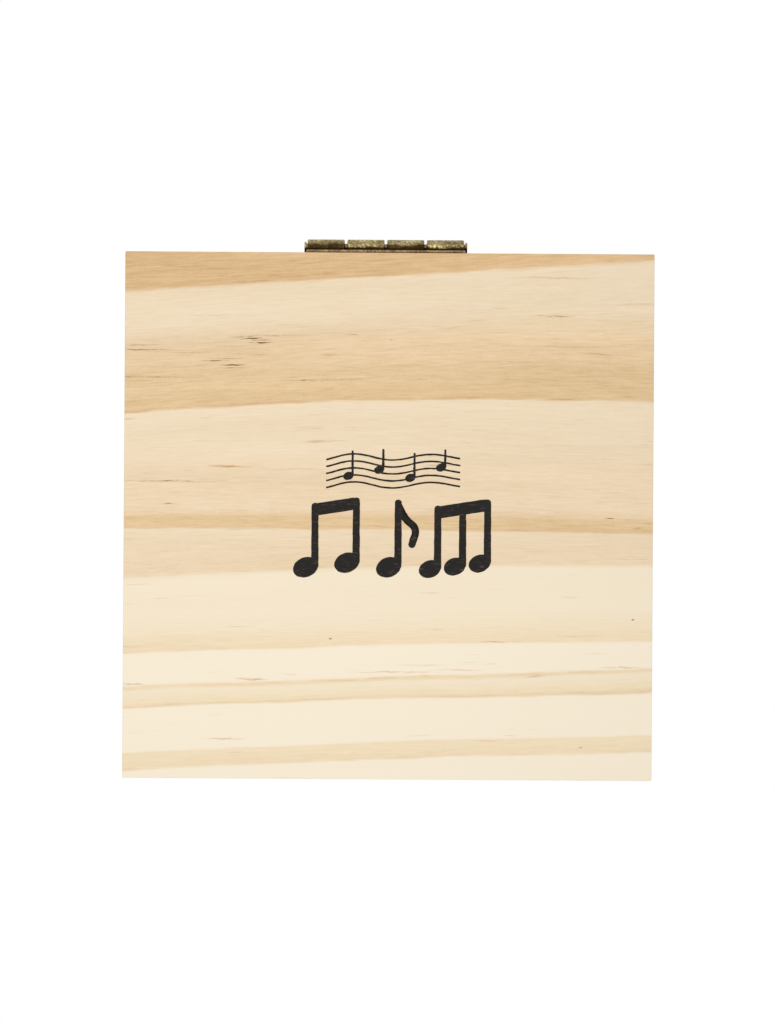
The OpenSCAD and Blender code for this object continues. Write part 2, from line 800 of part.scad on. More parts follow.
module bridge_screws() {
    color(steel) at_movement() for (s = [-1, 1]) translate([0, s * post_y, bridge_z + bridge_t])
        screw(bridge_screw, bridge_t + post_tap - 1);
}

// Ratchet teeth are steep on one side, so that the arbor can only be turned anticlockwise from above
module ratchet_wheel() {
    step = 360 / ratchet_teeth;
    color(steel) at_movement() translate([0, 0, ratchet_z]) difference() {
        linear_extrude(ratchet_t) polygon([for (i = [0:ratchet_teeth - 1], k = [0, 1])
            polar(k == 0 ? ratchet_r : ratchet_r - 0.8, 180 - i * step - k * 1.5)]);
        translate([-square_s / 2 - 0.02, -square_s / 2 - 0.02, -eps])
            cube([square_s + 0.04, square_s + 0.04, ratchet_t + 2 * eps]);
    }
}

// The click: a small pawl whose beak rests between two ratchet teeth
module click() {
    color(steel) at_movement() translate([0, 0, ratchet_z + 0.1]) difference() {
        linear_extrude(click_t) {
            translate([click_x, click_y]) circle(r = click_screw[0], $fn = 32);
            polygon([
                [-1.24, -3.86], [-2.35, -4.13], [click_x + 0.3, click_y + 1.45],
                [click_x - 0.2, click_y - 1.45], [-2.2, -5.2], [-1.36, -4.55]
            ]);
            translate([click_x - 2.6, click_y - 0.5]) square([2.4, 1]);
        }
        translate([click_x, click_y, 0]) screw_hole(click_screw, 0, click_t, run_gap);
    }
}

module click_screws() {
    color(steel) at_movement() {
        translate([click_x, click_y, ratchet_z + click_t + 0.2]) screw(click_screw, click_t + 1.4);
        translate([0, click_spring_y, bridge_z + bridge_t + click_foot_t])
            screw(click_screw, click_foot_t + bridge_t - screw_end);
    }
}

// A foot under its screw, and a flat blade that bears on the click's outer side
module click_spring() {
    color(brass) at_movement() translate([0, 0, bridge_z + bridge_t]) {
        linear_extrude(click_foot_t) difference() {
            union() {
                translate([0, click_spring_y]) circle(r = click_screw[0] + 0.2, $fn = 32);
                translate([-2.7, click_spring_y - 0.7]) square([2.7, 1.4]);
            }
            translate([0, click_spring_y]) circle(r = click_screw[2] + tap_slack, $fn = 24);
        }
        linear_extrude(click_blade_h) polygon([
            [-2.45, click_spring_y - 0.7], [-2.45, click_spring_y + 0.7], [-3.25, click_y - 0.98],
            [-3.5, click_y - 1.05], [-2.7, click_spring_y + 0.6], [-2.7, click_spring_y - 0.7]
        ]);
    }
}

// ---------------------------------------------------------------- cylinder
// Where the tune has a pin: a fixed rule over the steps of a turn, one row for each note
function has_pin(note, step) = (step * 7 + note * 5 + floor(note * note / 3)) % 11 < 3;

module cylinder_shell() {
    color(brass) at_movement() difference() {
        union() {
            along_x(drum_x) cylinder(r = drum_r, h = drum_len, $fn = 96);
            for (note = [0:notes - 1], step = [0:pin_steps - 1]) if (has_pin(note, step))
                translate([track_x + note * note_pitch, 0, axis_z])
                    rotate([(step + 0.5) * 360 / pin_steps, 0, 0]) translate([0, 0, drum_r - 0.3])
                        cylinder(r = pin_r, h = pin_h + 0.3, $fn = 6);
        }
        along_x(drum_x - eps) cylinder(r = cyl_arbor_r + 0.02, h = drum_len + 2 * eps, $fn = 48);
    }
}

module cylinder_arbor() {
    x0 = pinion_x - pinion_w / 2 - 0.4;
    x1 = right_x + bearing_t + 0.5;
    color(steel) at_movement() along_x(x0) cylinder(r = cyl_arbor_r, h = x1 - x0, $fn = 48);
}

module cylinder_pinion() {
    color(steel) at_movement() along_x(pinion_x - pinion_w / 2) difference() {
        spur(pinion_leaves, crown_m, pinion_w, crown_add, crown_ded, 0.58 * crown_m);
        translate([0, 0, -eps]) cylinder(r = cyl_arbor_r + 0.02, h = pinion_w + 2 * eps, $fn = 48);
    }
}

module cylinder_wheel() {
    color(brass) at_movement() along_x(wheel_x) difference() {
        spur(wheel_teeth, tooth_m, wheel_w, wheel_add, wheel_ded, 0.12);
        translate([0, 0, -eps]) cylinder(r = cyl_arbor_r + 0.02, h = wheel_w + 2 * eps, $fn = 48);
    }
}

// ---------------------------------------------------------------- comb
function tooth_len(i) = tooth_long - (tooth_long - tooth_short) * i / (notes - 1);

// One tooth seen from above, its tip narrowed on both sides
module comb_tooth(i) {
    x = track_x + i * note_pitch;
    w = note_pitch - comb_slot;
    neck = -tip_r - 1.6;
    polygon([
        [x - w / 2, -tip_r - tooth_len(i) - 1], [x + w / 2, -tip_r - tooth_len(i) - 1],
        [x + w / 2, neck], [x + w / 4, -tip_r], [x - w / 4, -tip_r], [x - w / 2, neck]
    ]);
}

module comb() {
    low = axis_z - tooth_t / 2;
    w = note_pitch - comb_slot;
    color(steel) at_movement() difference() {
        union() {
            // teeth and the thin part of the plate that they are cut from
            translate([0, 0, low]) linear_extrude(tooth_t) union() {
                for (i = [0:notes - 1]) comb_tooth(i);
                polygon([
                    [comb_x0, -comb_back], [comb_x0 + comb_w, -comb_back],
                    [comb_x0 + comb_w, -tip_r - tooth_short], [comb_x0, -tip_r - tooth_long]
                ]);
            }
            // the thick back of the plate
            translate([comb_x0, -comb_back, comb_bottom]) linear_extrude(comb_body_t + tooth_t / 2)
                polygon([[0, 0], [comb_w, 0], [comb_w, comb_land + 0.4], [0, comb_land - 0.8]]);
            // tuning weights under the low notes, each a little thinner than the last
            for (i = [0:weights - 1]) {
                h = weight_h * (1 - 0.11 * i);
                translate([track_x + i * note_pitch - w / 2, -tip_r - 3.6, low - h]) cube([w, 2, h + eps]);
            }
        }
        comb_screw_places() screw_hole(comb_screw, comb_body_t + tooth_t, 0);
    }
}

module comb_screw_places() {
    for (x = [comb_x0 + comb_screw_in, comb_x0 + comb_w - comb_screw_in])
        translate([x, -comb_back + comb_screw_back, axis_z + tooth_t / 2]) children();
}

module comb_screws() {
    color(steel) at_movement() comb_screw_places() screw(comb_screw, comb_screw_len);
}

// Cast shelf that the comb is screwed to, with a foot, a web and two end ribs
module comb_base() {
    h = comb_bottom - bed_t;
    color(zinc) at_movement() difference() {
        translate([comb_x0, -comb_back, bed_t]) {
            rotate([90, 0, 90]) linear_extrude(comb_w) polygon([
                [0.2, 0], [base_foot, 0], [base_foot, base_foot_t], [base_wall, base_foot_t + 1],
                [base_wall, h - 5.4], [base_shelf, h - 3.4], [base_shelf, h], [0, h],
                [0, h - 5], [0.2, h - 5.2]
            ]);
            for (x = [0, comb_w - base_rib_t]) translate([x, 0, 0])
                rotate([90, 0, 90]) linear_extrude(base_rib_t)
                    polygon([[0.2, 0], [base_foot, 0], [base_shelf, h - 3], [0.2, h - 3]]);
        }
        comb_screw_places() screw_hole(comb_screw, comb_screw_len + 2, 0, tap_slack);
    }
}

// ---------------------------------------------------------------- governor
module governor_screw_places() {
    for (y = [frame_y0 + 1.9, frame_y1 - 1.9])
        translate([frame_x0 + frame_t - frame_foot + 1.7, y, bed_t]) children();
}

module governor_frame() {
    x0 = frame_x0;
    x1 = frame_x1 + frame_t;
    toe = x0 + frame_t - frame_foot;
    color(zinc) at_movement() difference() {
        union() {
            translate([0, frame_y1, 0]) rotate([90, 0, 0]) linear_extrude(frame_y1 - frame_y0) polygon([
                [toe, bed_t], [x0 + frame_t, bed_t], [x0 + frame_t, frame_z], [frame_x1, frame_z],
                [frame_x1, bed_t], [x1, bed_t], [x1, frame_z + frame_t],
                [x0, frame_z + frame_t], [x0, bed_t + frame_t], [toe, bed_t + frame_t]
            ]);
            // ear that guides the stop rod
            translate([frame_x1 + frame_t / 2, worm_y - frame_ear_w / 2, frame_z])
                cube([rod_x - frame_x1 - frame_t / 2, frame_ear_w, frame_t]);
            translate([rod_x, worm_y, frame_z]) cylinder(r = frame_ear_w / 2, h = frame_t, $fn = 32);
        }
        // pivots of the worm wheel's arbor and of the worm, and the stop rod's guide
        for (x = [x0, frame_x1]) along_x(x - eps, gov_y)
            cylinder(r = gov_arbor_r + run_gap, h = frame_t + 2 * eps, $fn = 24);
        translate([worm_x, worm_y, frame_z - eps])
            cylinder(r = shaft_r + run_gap, h = frame_t + 2 * eps, $fn = 24);
        translate([rod_x, worm_y, frame_z - eps])
            cylinder(r = rod_r + run_gap, h = frame_t + 2 * eps, $fn = 24);
        governor_screw_places() screw_hole(small_screw, 0, frame_t);
        // window for the stop rod's arm
        translate([frame_x1 - eps, worm_y - arm_w / 2 - 0.5, disc_z - 0.6])
            cube([frame_t + 2 * eps, arm_w + 1, window_h]);
    }
}

module governor_screws() {
    color(steel) at_movement() governor_screw_places() translate([0, 0, frame_t])
        screw(small_screw, frame_t + tap_depth - screw_end);
}

module governor_arbor() {
    pivot = 0.3;
    color(steel) at_movement() {
        along_x(frame_x0 - pivot, gov_y)
            cylinder(r = gov_arbor_r, h = frame_x1 + frame_t - frame_x0 + 2 * pivot, $fn = 32);
        along_x(wheel_x - 0.2, gov_y) rotate([0, 0, 90 + gov_phase])
            spur(gov_leaves, tooth_m, wheel_w + 0.4, wheel_add, wheel_ded, 0.1);
    }
}

module worm_wheel() {
    skew = worm_wheel_w * tan(worm_lead_angle) / worm_wheel_r * 180 / PI;
    color(brass) at_movement() along_x(worm_wheel_x, gov_y) difference() {
        rotate([0, 0, 90 - skew / 2]) linear_extrude(worm_wheel_w, twist = -skew, slices = 2)
            polygon(wheel_outline(worm_teeth, tooth_m, tooth_m * 0.8, tooth_m * 1.2, 0.12));
        translate([0, 0, -eps]) cylinder(r = gov_arbor_r + 0.02, h = worm_wheel_w + 2 * eps, $fn = 32);
    }
}

// Two-start worm: each turn of a start rises by the lead
module worm() {
    root = worm_r - wheel_ded;
    tip = worm_r + wheel_add;
    n = 12;
    half = 180 / worm_starts;
    crest = 0.22;
    foot = 0.6;
    outline = [for (s = [0:worm_starts - 1], k = [0:n - 1])
        let (a = (2 * k / n - 1) * half, f = abs(a) / half)
        polar(f < crest ? tip : f < foot ? tip - (tip - root) * (f - crest) / (foot - crest) : root,
            a + s * 2 * half)];
    color(steel) at_movement() translate([worm_x, worm_y, 0]) {
        translate([0, 0, bed_t - shaft_sink])
            cylinder(r = shaft_r, h = frame_z + frame_t - 0.1 - bed_t + shaft_sink, $fn = 32);
        translate([0, 0, axis_z - worm_len / 2]) rotate([0, 0, -180 * worm_len / worm_lead])
            linear_extrude(worm_len, twist = -360 * worm_len / worm_lead, slices = 60) polygon(outline);
    }
}

// Two bent blades and the brake disc that the stop rod's pad drops on
module fly() {
    color(brass) at_movement() translate([worm_x, worm_y, 0]) difference() {
        union() {
            translate([0, 0, fly_z]) cylinder(r = 1.1, h = disc_z - fly_z + disc_t, $fn = 32);
            translate([0, 0, disc_z]) cylinder(r = disc_r, h = disc_t, $fn = 48);
            for (s = [0, 180]) rotate([0, 0, s + 20]) translate([0.6, -blade_t / 2, fly_z])
                cube([fly_r - 0.6, blade_t, fly_h]);
        }
        translate([0, 0, fly_z - eps])
            cylinder(r = shaft_r + 0.02, h = disc_z + disc_t - fly_z + 2 * eps, $fn = 32);
    }
}

module endstone_cap() {
    color(steel) at_movement() translate([worm_x, worm_y, frame_z + frame_t])
        cylinder(r = 1.6, h = 0.6, $fn = 32);
}

// ---------------------------------------------------------------- lid-operated stop
module stop_rod() {
    rod_low = 1 - floor_t;
    color(steel) at_movement() {
        translate([rod_x, worm_y, rod_low]) cylinder(r = rod_r, h = in_h - 0.1 - rod_low, $fn = 32);
        translate([rod_x, worm_y, arm_z - collar_sink]) cylinder(r = collar_r, h = 2, $fn = 32);
        translate([worm_x + disc_r - pad_reach, worm_y - arm_w / 2, arm_z])
            cube([rod_x - worm_x - disc_r + pad_reach, arm_w, arm_t]);
    }
}

// The coil under the rod's collar. Its level section is that of a round wire on a helix.
module stop_spring() {
    wire_r = 0.16;
    turns = 5;
    low = bed_t + 0.02;
    height = arm_z - collar_sink - 0.02 - low;
    coil_r = rod_r + run_gap + wire_r + 0.1;
    reach = wire_r * 360 * turns / height;
    color(steel) at_movement() translate([rod_x, worm_y, low])
        linear_extrude(height, twist = -360 * turns, slices = turns * 16)
            polygon([for (a = [0:30:330]) polar(coil_r + wire_r * sin(a), -reach * cos(a))]);
}

front_wall();
back_wall();
left_wall();
right_wall();
floor_panel();
feet();
divider();
tray_felt();
cover_ledges();
cover_pane();
lid();
hinge_leaf_lid();
hinge_leaf_case();
hinge_pin();
hinge_screws_lid();
hinge_screws_case();
bedplate();
bedplate_screws();
spring_barrel();
barrel_cap();
mainspring();
winding_arbor();
winding_key();
barrel_bridge();
bridge_screws();
ratchet_wheel();
click();
click_screws();
click_spring();
cylinder_shell();  // cylinder
cylinder_arbor();
cylinder_pinion();
cylinder_wheel();
left_bearing();
right_bearing();
bearing_screws();
comb_base();
comb();
comb_screws();
governor_frame();
governor_screws();
governor_arbor();
worm_wheel();
worm();
fly();
endstone_cap();
stop_rod();
stop_spring();
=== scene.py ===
# %% [markdown]
# # A pine box with a musical movement
# This lesson dresses a finished CAD model of a small hinged box. Every solid is there at its true
# size: the walls, the hinge, the movement. What is left is what the eye notices first: the timber,
# the tarnished hinge, the ink on the lid and the bright metal inside.

# %% Load the frame
import bpy
import math
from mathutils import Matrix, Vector


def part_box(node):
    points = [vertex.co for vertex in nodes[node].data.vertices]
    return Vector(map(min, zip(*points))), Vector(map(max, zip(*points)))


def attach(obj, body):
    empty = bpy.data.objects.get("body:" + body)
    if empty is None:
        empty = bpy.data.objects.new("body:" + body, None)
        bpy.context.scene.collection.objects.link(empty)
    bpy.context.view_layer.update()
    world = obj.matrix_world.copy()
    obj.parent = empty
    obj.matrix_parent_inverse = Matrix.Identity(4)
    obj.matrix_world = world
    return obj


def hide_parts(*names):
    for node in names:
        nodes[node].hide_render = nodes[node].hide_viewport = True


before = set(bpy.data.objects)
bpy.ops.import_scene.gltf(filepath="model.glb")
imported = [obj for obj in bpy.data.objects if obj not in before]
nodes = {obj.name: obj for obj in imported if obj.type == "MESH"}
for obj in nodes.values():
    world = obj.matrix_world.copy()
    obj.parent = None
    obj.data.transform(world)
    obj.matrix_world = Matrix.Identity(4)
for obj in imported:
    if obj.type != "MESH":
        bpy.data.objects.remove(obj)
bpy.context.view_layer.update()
MM = 0.001

# %% [markdown]
# Only small things, such as growth rings, pen strokes and rounded edges, have sizes of their own
# in this file.

# %% The lid's size, which later cells share
lid_low, lid_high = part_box("lid")
lid_size = lid_high - lid_low
lid_mid = (lid_low + lid_high) / 2
print("lid", [round(v / MM, 2) for v in lid_size], "mm, middle", [round(v / MM, 2) for v in lid_mid])

# %% [markdown]
# ## The view
# The camera looks straight down on the closed lid from a little over half a metre, as a product
# picture does. A long lens keeps the lid square and still shows a sliver of the hinge behind it.
# The image is 775 by 1024, and its longer side takes the whole sensor, so the lens follows from
# how wide the lid should be in the picture.

# %% Camera
IMAGE_W, IMAGE_H = 775, 1024
LID_W_PX = 529.4
LID_MID_PX = (388.4, 516.1)
SENSOR_MM = 36
CAMERA_RISE = 0.56
ROLL_DEG = 0.36
NEAREST_SEEN = 0.01

metres_per_px = lid_size.x / LID_W_PX
camera_data = bpy.data.cameras.new("view_from_above")
camera_data.sensor_width = SENSOR_MM
camera_data.lens = SENSOR_MM * CAMERA_RISE / (metres_per_px * IMAGE_H)
camera_data.clip_start = NEAREST_SEEN
camera = bpy.data.objects.new("view_from_above", camera_data)
bpy.context.scene.collection.objects.link(camera)
off_x = (LID_MID_PX[0] - IMAGE_W / 2) * metres_per_px
off_y = (LID_MID_PX[1] - IMAGE_H / 2) * metres_per_px
camera.location = (lid_mid.x - off_x, lid_mid.y + off_y, lid_high.z + CAMERA_RISE)
camera.rotation_euler = (0, 0, math.radians(ROLL_DEG))
bpy.context.scene.camera = camera
print("lens", round(camera_data.lens, 1), "mm")

# %% [markdown]
# ## Small helpers
# `bpy.ops` works on whatever is selected, and the imported parts arrive selected. So a helper that
# makes or changes an object first clears the selection, and gives back that one object.

# %% Helpers for selecting
def clear_selection():
    bpy.ops.object.select_all(action="DESELECT")


def pick(obj):
    """Makes one object the only one selected, and the active one."""
    clear_selection()
    obj.select_set(True)
    bpy.context.view_layer.objects.active = obj


def choose(obj, kind, test):
    """Goes into edit mode with only those vertices, edges or faces selected that pass the test."""
    if bpy.context.mode != "OBJECT":
        bpy.ops.object.mode_set(mode="OBJECT")
    pick(obj)
    bpy.ops.object.mode_set(mode="EDIT")
    bpy.ops.mesh.select_mode(type=kind)
    bpy.ops.mesh.select_all(action="DESELECT")
    bpy.ops.object.mode_set(mode="OBJECT")
    items = {"VERT": obj.data.vertices, "EDGE": obj.data.edges, "FACE": obj.data.polygons}[kind]
    for item in items:
        item.select = test(item)
    bpy.ops.object.mode_set(mode="EDIT")


def done():
    """Leaves edit mode."""
    bpy.ops.mesh.select_mode(type="VERT")
    bpy.ops.object.mode_set(mode="OBJECT")


print("helpers for selecting are ready")

# %% Helpers for shaping
EASE_SEGMENTS = 2
SHARP_DEG = 40
SMOOTH_DEG = 30


def settle(obj):
    """Puts the place, turn and scale into the mesh, so that the object itself sits at the origin."""
    pick(obj)
    bpy.ops.object.transform_apply(location=True, rotation=True, scale=True)
    return obj


def board(name, low, high):
    """A rectangular block between two corners."""
    clear_selection()
    bpy.ops.mesh.primitive_cube_add(size=1, location=(low + high) / 2)
    obj = bpy.context.object
    obj.name = name
    obj.scale = high - low
    return settle(obj)


def finish_modifiers(obj):
    """Applies every modifier, so that the shape is in the mesh."""
    pick(obj)
    for modifier in list(obj.modifiers):
        bpy.ops.object.modifier_apply(modifier=modifier.name)
    return obj


def ease_edges(obj, width, sharp=SHARP_DEG):
    """A small rounding on every sharp edge, as sandpaper or wear leaves it."""
    bevel = obj.modifiers.new("eased edges", "BEVEL")
    bevel.width = width
    bevel.segments = EASE_SEGMENTS
    bevel.limit_method = "ANGLE"
    bevel.angle_limit = math.radians(sharp)
    finish_modifiers(obj)
    bpy.ops.object.shade_smooth_by_angle(angle=math.radians(SMOOTH_DEG))
    return obj


def dress(obj, material):
    """Gives a piece its one material."""
    obj.data.materials.clear()
    obj.data.materials.append(material)


def stand_for(obj, body, slot, *replaced):
    """Rides a piece on its body, and hides the CAD parts it takes the place of."""
    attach(obj, body)
    if replaced:
        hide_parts(*replaced)
    return obj


print("helpers for shaping are ready")

# %% [markdown]
# ## Writing a material
# A node tree is a small circuit. The `Tree` helper below keeps the wiring short: it adds a node,
# writes what is plain and links what comes from another node. Most masks in this lesson are a
# noise that counts for nothing up to a start and rises from there, which is what `past` does.

# %% Node helpers
class Tree:
    def __init__(self, tree):
        self.tree = tree

    def node(self, kind, settings=None, **inputs):
        made = self.tree.nodes.new(kind)
        for key, value in (settings or {}).items():
            setattr(made, key, value)
        for key, value in inputs.items():
            self.set(made.inputs[key.replace("_", " ")], value)
        return made

    def set(self, socket, value):
        if isinstance(value, bpy.types.NodeSocket):
            self.tree.links.new(value, socket)
        elif socket.type == "RGBA":
            socket.default_value = (*value, 1)
        else:
            socket.default_value = value

    def math(self, operation, a, b=0.0, clamp=False):
        made = self.node("ShaderNodeMath", {"operation": operation, "use_clamp": clamp})
        self.set(made.inputs[0], a)
        self.set(made.inputs[1], b)
        return made.outputs[0]

    def add(self, a, b, clamp=False):
        return self.math("ADD", a, b, clamp)

    def sub(self, a, b, clamp=False):
        return self.math("SUBTRACT", a, b, clamp)

    def mul(self, a, b, clamp=False):
        return self.math("MULTIPLY", a, b, clamp)

    def div(self, a, b, clamp=False):
        return self.math("DIVIDE", a, b, clamp)

    def past(self, value, start, slope):
        """A mask: 0 up to the start, then rising to 1. A negative slope masks what lies below."""
        return self.mul(self.sub(value, start), slope, clamp=True)

    def swing(self, noise, amount):
        """Noise runs from 0 to 1. This makes it swing about 0, by half the amount either way."""
        return self.mul(self.sub(noise, 0.5), amount)

    def blend(self, a, b, share):
        """A share of one value, and the rest of another."""
        return self.add(self.mul(a, share), self.mul(b, 1 - share))

    def ramp(self, value, stops):
        """A colour or a grey for each value between 0 and 1."""
        made = self.node("ShaderNodeValToRGB", Fac=value)
        elements = made.color_ramp.elements
        while len(elements) < len(stops):
            elements.new(0.5)
        for element, (place, tone) in zip(elements, stops):
            element.position = place
            element.color = (tone, tone, tone, 1) if isinstance(tone, float) else (*tone, 1)
        return made.outputs["Color"]

    def mix(self, factor, a, b, blend_type="MIX"):
        made = self.node("ShaderNodeMix", {"data_type": "RGBA", "blend_type": blend_type})
        for number, value in ((0, factor), (6, a), (7, b)):
            self.set(made.inputs[number], value)
        return made.outputs[2]

    def noise(self, vector, scale, detail=2.0, roughness=0.5):
        made = self.node("ShaderNodeTexNoise", Vector=vector, Scale=scale, Detail=detail,
                         Roughness=roughness)
        return made.outputs["Fac"]

    def stretch(self, vector, scale, shift=(0, 0, 0)):
        return self.node("ShaderNodeMapping", Vector=vector, Scale=scale, Location=shift).outputs[0]

    def grain(self, vector, scale, detail=2.0, roughness=0.5, shift=(0, 0, 0)):
        """A noise that is finer in one direction than in another, as anything fibrous is."""
        return self.noise(self.stretch(vector, scale, shift), 1.0, detail, roughness)

    def bump(self, height, strength, distance):
        made = self.node("ShaderNodeBump", Height=height, Strength=strength, Distance=distance)
        return made.outputs["Normal"]


print("node helpers are ready")

# %% Colours, groups and materials
def srgb(red, green, blue):
    """A colour given as 0 to 255, as a paint program shows it, in Blender's linear values."""
    def linear(v):
        v = v / 255
        return v / 12.92 if v <= 0.04045 else ((v + 0.055) / 1.055) ** 2.4
    return (linear(red), linear(green), linear(blue))


def new_group(name, amounts, masks):
    """A node group that reads a place and some amounts, and gives out masks or heights."""
    group = bpy.data.node_groups.new(name, "ShaderNodeTree")
    group.interface.new_socket(name="Vector", in_out="INPUT", socket_type="NodeSocketVector")
    for label, value in amounts.items():
        socket = group.interface.new_socket(name=label, in_out="INPUT", socket_type="NodeSocketFloat")
        socket.default_value = value
    for label in masks:
        group.interface.new_socket(name=label, in_out="OUTPUT", socket_type="NodeSocketFloat")
    reads = group.nodes.new("NodeGroupInput").outputs
    gives = group.nodes.new("NodeGroupOutput").inputs
    return group, Tree(group), reads, gives


def use_group(t, group, **inputs):
    return t.node("ShaderNodeGroup", {"node_tree": group}, **inputs).outputs


def new_material(name, **plain):
    """A material with one shader. The plain values are the same all over the surface."""
    material = bpy.data.materials.new(name)
    material.use_nodes = True
    tree = material.node_tree
    tree.nodes.clear()
    t = Tree(tree)
    shader = t.node("ShaderNodeBsdfPrincipled", **plain)
    t.node("ShaderNodeOutputMaterial", Surface=shader.outputs[0])
    surface = t.node("ShaderNodeTexCoord").outputs["Object"]
    return material, t, shader.inputs, surface


print("white is", srgb(255, 255, 255), "and mid grey", [round(v, 3) for v in srgb(128, 128, 128)])

# %% [markdown]
# ## Pine
# Pine is pale early wood and tan late wood, laid down ring by ring. Seen on a board, each ring
# begins pale, darkens slowly, and stops at a sharp line where the next year starts. Along that run
# short dark fibres and a few resin streaks. The first group makes the fibres, because the lid,
# the walls and the plywood all need them. It works in a space where X follows the grain, and
# stretches each noise along X, which is quicker than painting and has no seams.

# %% Fibre group
# how fine each noise is along and across the grain, then its detail, roughness and shift
FIBRE_NOISES = {
    "fine": ((150, 3400, 3400), 3.0, 0.6),
    "short": ((300, 2600, 2600), 1.0, 0.5, (3, 7, 1)),
    "streak": ((95, 1500, 1500), 2.0, 0.55, (11, 5, 2)),
    "patch": ((28, 90, 90), 2.0, 0.5, (1, 9, 4)),
    "dash": ((210, 2900, 2900), 2.0, 0.6, (5, 1, 8)),
    "soft": ((14, 260, 260), 3.0, 0.5, (2, 3, 8)),
}
# the start and the slope of each mask
STREAK_MASK, PATCH_MASK = (0.66, 7.0), (0.42, 5.0)
DARK_DASH, PALE_DASH = (0.56, 7.0), (0.4, -7.0)
FINE_SHARE = 0.65
PALE_DASH_SHARE = 0.5

fibre_group, g, reads, gives = new_group(
    "wood fibres", {"Streaks": 1.0}, ["Fine", "Streak", "Soft", "Dash"])
fibre = {name: g.grain(reads["Vector"], *how) for name, how in FIBRE_NOISES.items()}
g.set(gives["Fine"], g.blend(fibre["fine"], fibre["short"], FINE_SHARE))
g.set(gives["Soft"], fibre["soft"])
streak_here = g.mul(g.past(fibre["streak"], *STREAK_MASK), g.past(fibre["patch"], *PATCH_MASK))
g.set(gives["Streak"], g.mul(streak_here, reads["Streaks"]))
# a dash is a short dark pore line, or a pale one where the plane lifted the grain
pale_dash = g.mul(g.past(fibre["dash"], *PALE_DASH), PALE_DASH_SHARE)
g.set(gives["Dash"], g.sub(pale_dash, g.past(fibre["dash"], *DARK_DASH)))
print("fibre group has", len(fibre_group.nodes), "nodes")

# %% [markdown]
# All the pine has some things in common, whatever its rings look like. Dense late wood shows every
# fibre, while the palest early wood is nearly plain, so the contrast follows from the ring's own
# tone. Sawn ends are darker and have open pores. One function adds all that to any ring colour.

# %% What all pine has in common
PLAIN_BLUE = 0.62
FIBRE_CONTRAST = 4.0
LEAST_CONTRAST, MOST_CONTRAST = 0.06, 1.7
SOFT_CHANGE, FINE_CHANGE, SPECK_CHANGE, DASH_CHANGE = 0.3, 0.42, 0.09, 0.085
SPECK_SCALE, PORE_SCALE = 1900.0, 2600.0
EVEN_SHADE = 0.996
# a darker fibre is also warmer: its red falls less than its green, and its blue more
RED_POWER, BLUE_POWER = 0.8, 1.5
STREAK_COVER, STREAK_TONE = 0.6, srgb(160, 112, 68)
END_MASK = (0.6, 4.0)
END_DARK, END_PORES = 0.72, 0.22
END_GREEN, END_BLUE = 0.95, 0.87
PINE_ROUGH, PINE_ROUGH_FIBRE = 0.5, 0.25
PINE_BUMP = (0.15, 0.08 * MM)


def finish_pine(t, shader, surface, colour, fibres, grain):
    """Fibres, streaks, end grain and a planed surface. grain is the axis that the fibres follow."""
    blue = t.node("ShaderNodeSeparateColor", Color=colour).outputs["Blue"]
    contrast = t.mul(t.sub(PLAIN_BLUE, blue), FIBRE_CONTRAST)
    contrast = t.math("MINIMUM", t.math("MAXIMUM", contrast, LEAST_CONTRAST), MOST_CONTRAST)
    lengthwise = t.add(t.swing(fibres["Soft"], SOFT_CHANGE), t.swing(fibres["Fine"], FINE_CHANGE))
    specks = t.swing(t.noise(surface, SPECK_SCALE), SPECK_CHANGE)
    change = t.add(lengthwise, t.add(specks, t.mul(fibres["Dash"], DASH_CHANGE)))
    shade = t.add(EVEN_SHADE, t.mul(change, contrast))
    tone = t.node("ShaderNodeCombineColor", Red=t.math("POWER", shade, RED_POWER), Green=shade,
                  Blue=t.math("POWER", shade, BLUE_POWER))
    colour = t.mix(1.0, colour, tone.outputs[0], "MULTIPLY")
    colour = t.mix(t.mul(fibres["Streak"], STREAK_COVER), colour, STREAK_TONE)
    faces = t.node("ShaderNodeVectorMath", {"operation": "DOT_PRODUCT"})
    t.set(faces.inputs[0], t.node("ShaderNodeTexCoord").outputs["Normal"])
    t.set(faces.inputs[1], grain)
    end_grain = t.past(t.math("ABSOLUTE", faces.outputs["Value"]), *END_MASK)
    end_tone = t.add(END_DARK, t.mul(t.noise(surface, PORE_SCALE), END_PORES))
    end_colour = t.node("ShaderNodeCombineColor", Red=end_tone, Green=t.mul(end_tone, END_GREEN),
                        Blue=t.mul(end_tone, END_BLUE))
    sawn = t.mix(1.0, colour, end_colour.outputs[0], "MULTIPLY")
    t.set(shader["Base Color"], t.mix(end_grain, colour, sawn))
    t.set(shader["Roughness"], t.add(PINE_ROUGH, t.mul(fibres["Fine"], PINE_ROUGH_FIBRE)))
    t.set(shader["Normal"], t.bump(fibres["Fine"], *PINE_BUMP))


print("contrast of the fibres runs from", LEAST_CONTRAST, "to", MOST_CONTRAST)

# %% [markdown]
# The lid is one board, and its rings are its character. They are listed one by one: each line is a
# distance from the back edge, in millimetres, at the middle of the board. A noise would be
# quicker, but it can't give the long even run from pale to tan that ends at a sharp line.

# %% Tones of the pine and the lid's rings
TAN = srgb(219, 183, 135)
HONEY = srgb(226, 195, 151)
STRAW = srgb(231, 203, 164)
BLUSH = srgb(235, 211, 177)
PALE = srgb(237, 217, 186)
WHEAT = srgb(239, 218, 182)
BUTTER = srgb(242, 223, 190)
CREAM = srgb(243, 228, 201)
IVORY = srgb(247, 234, 211)

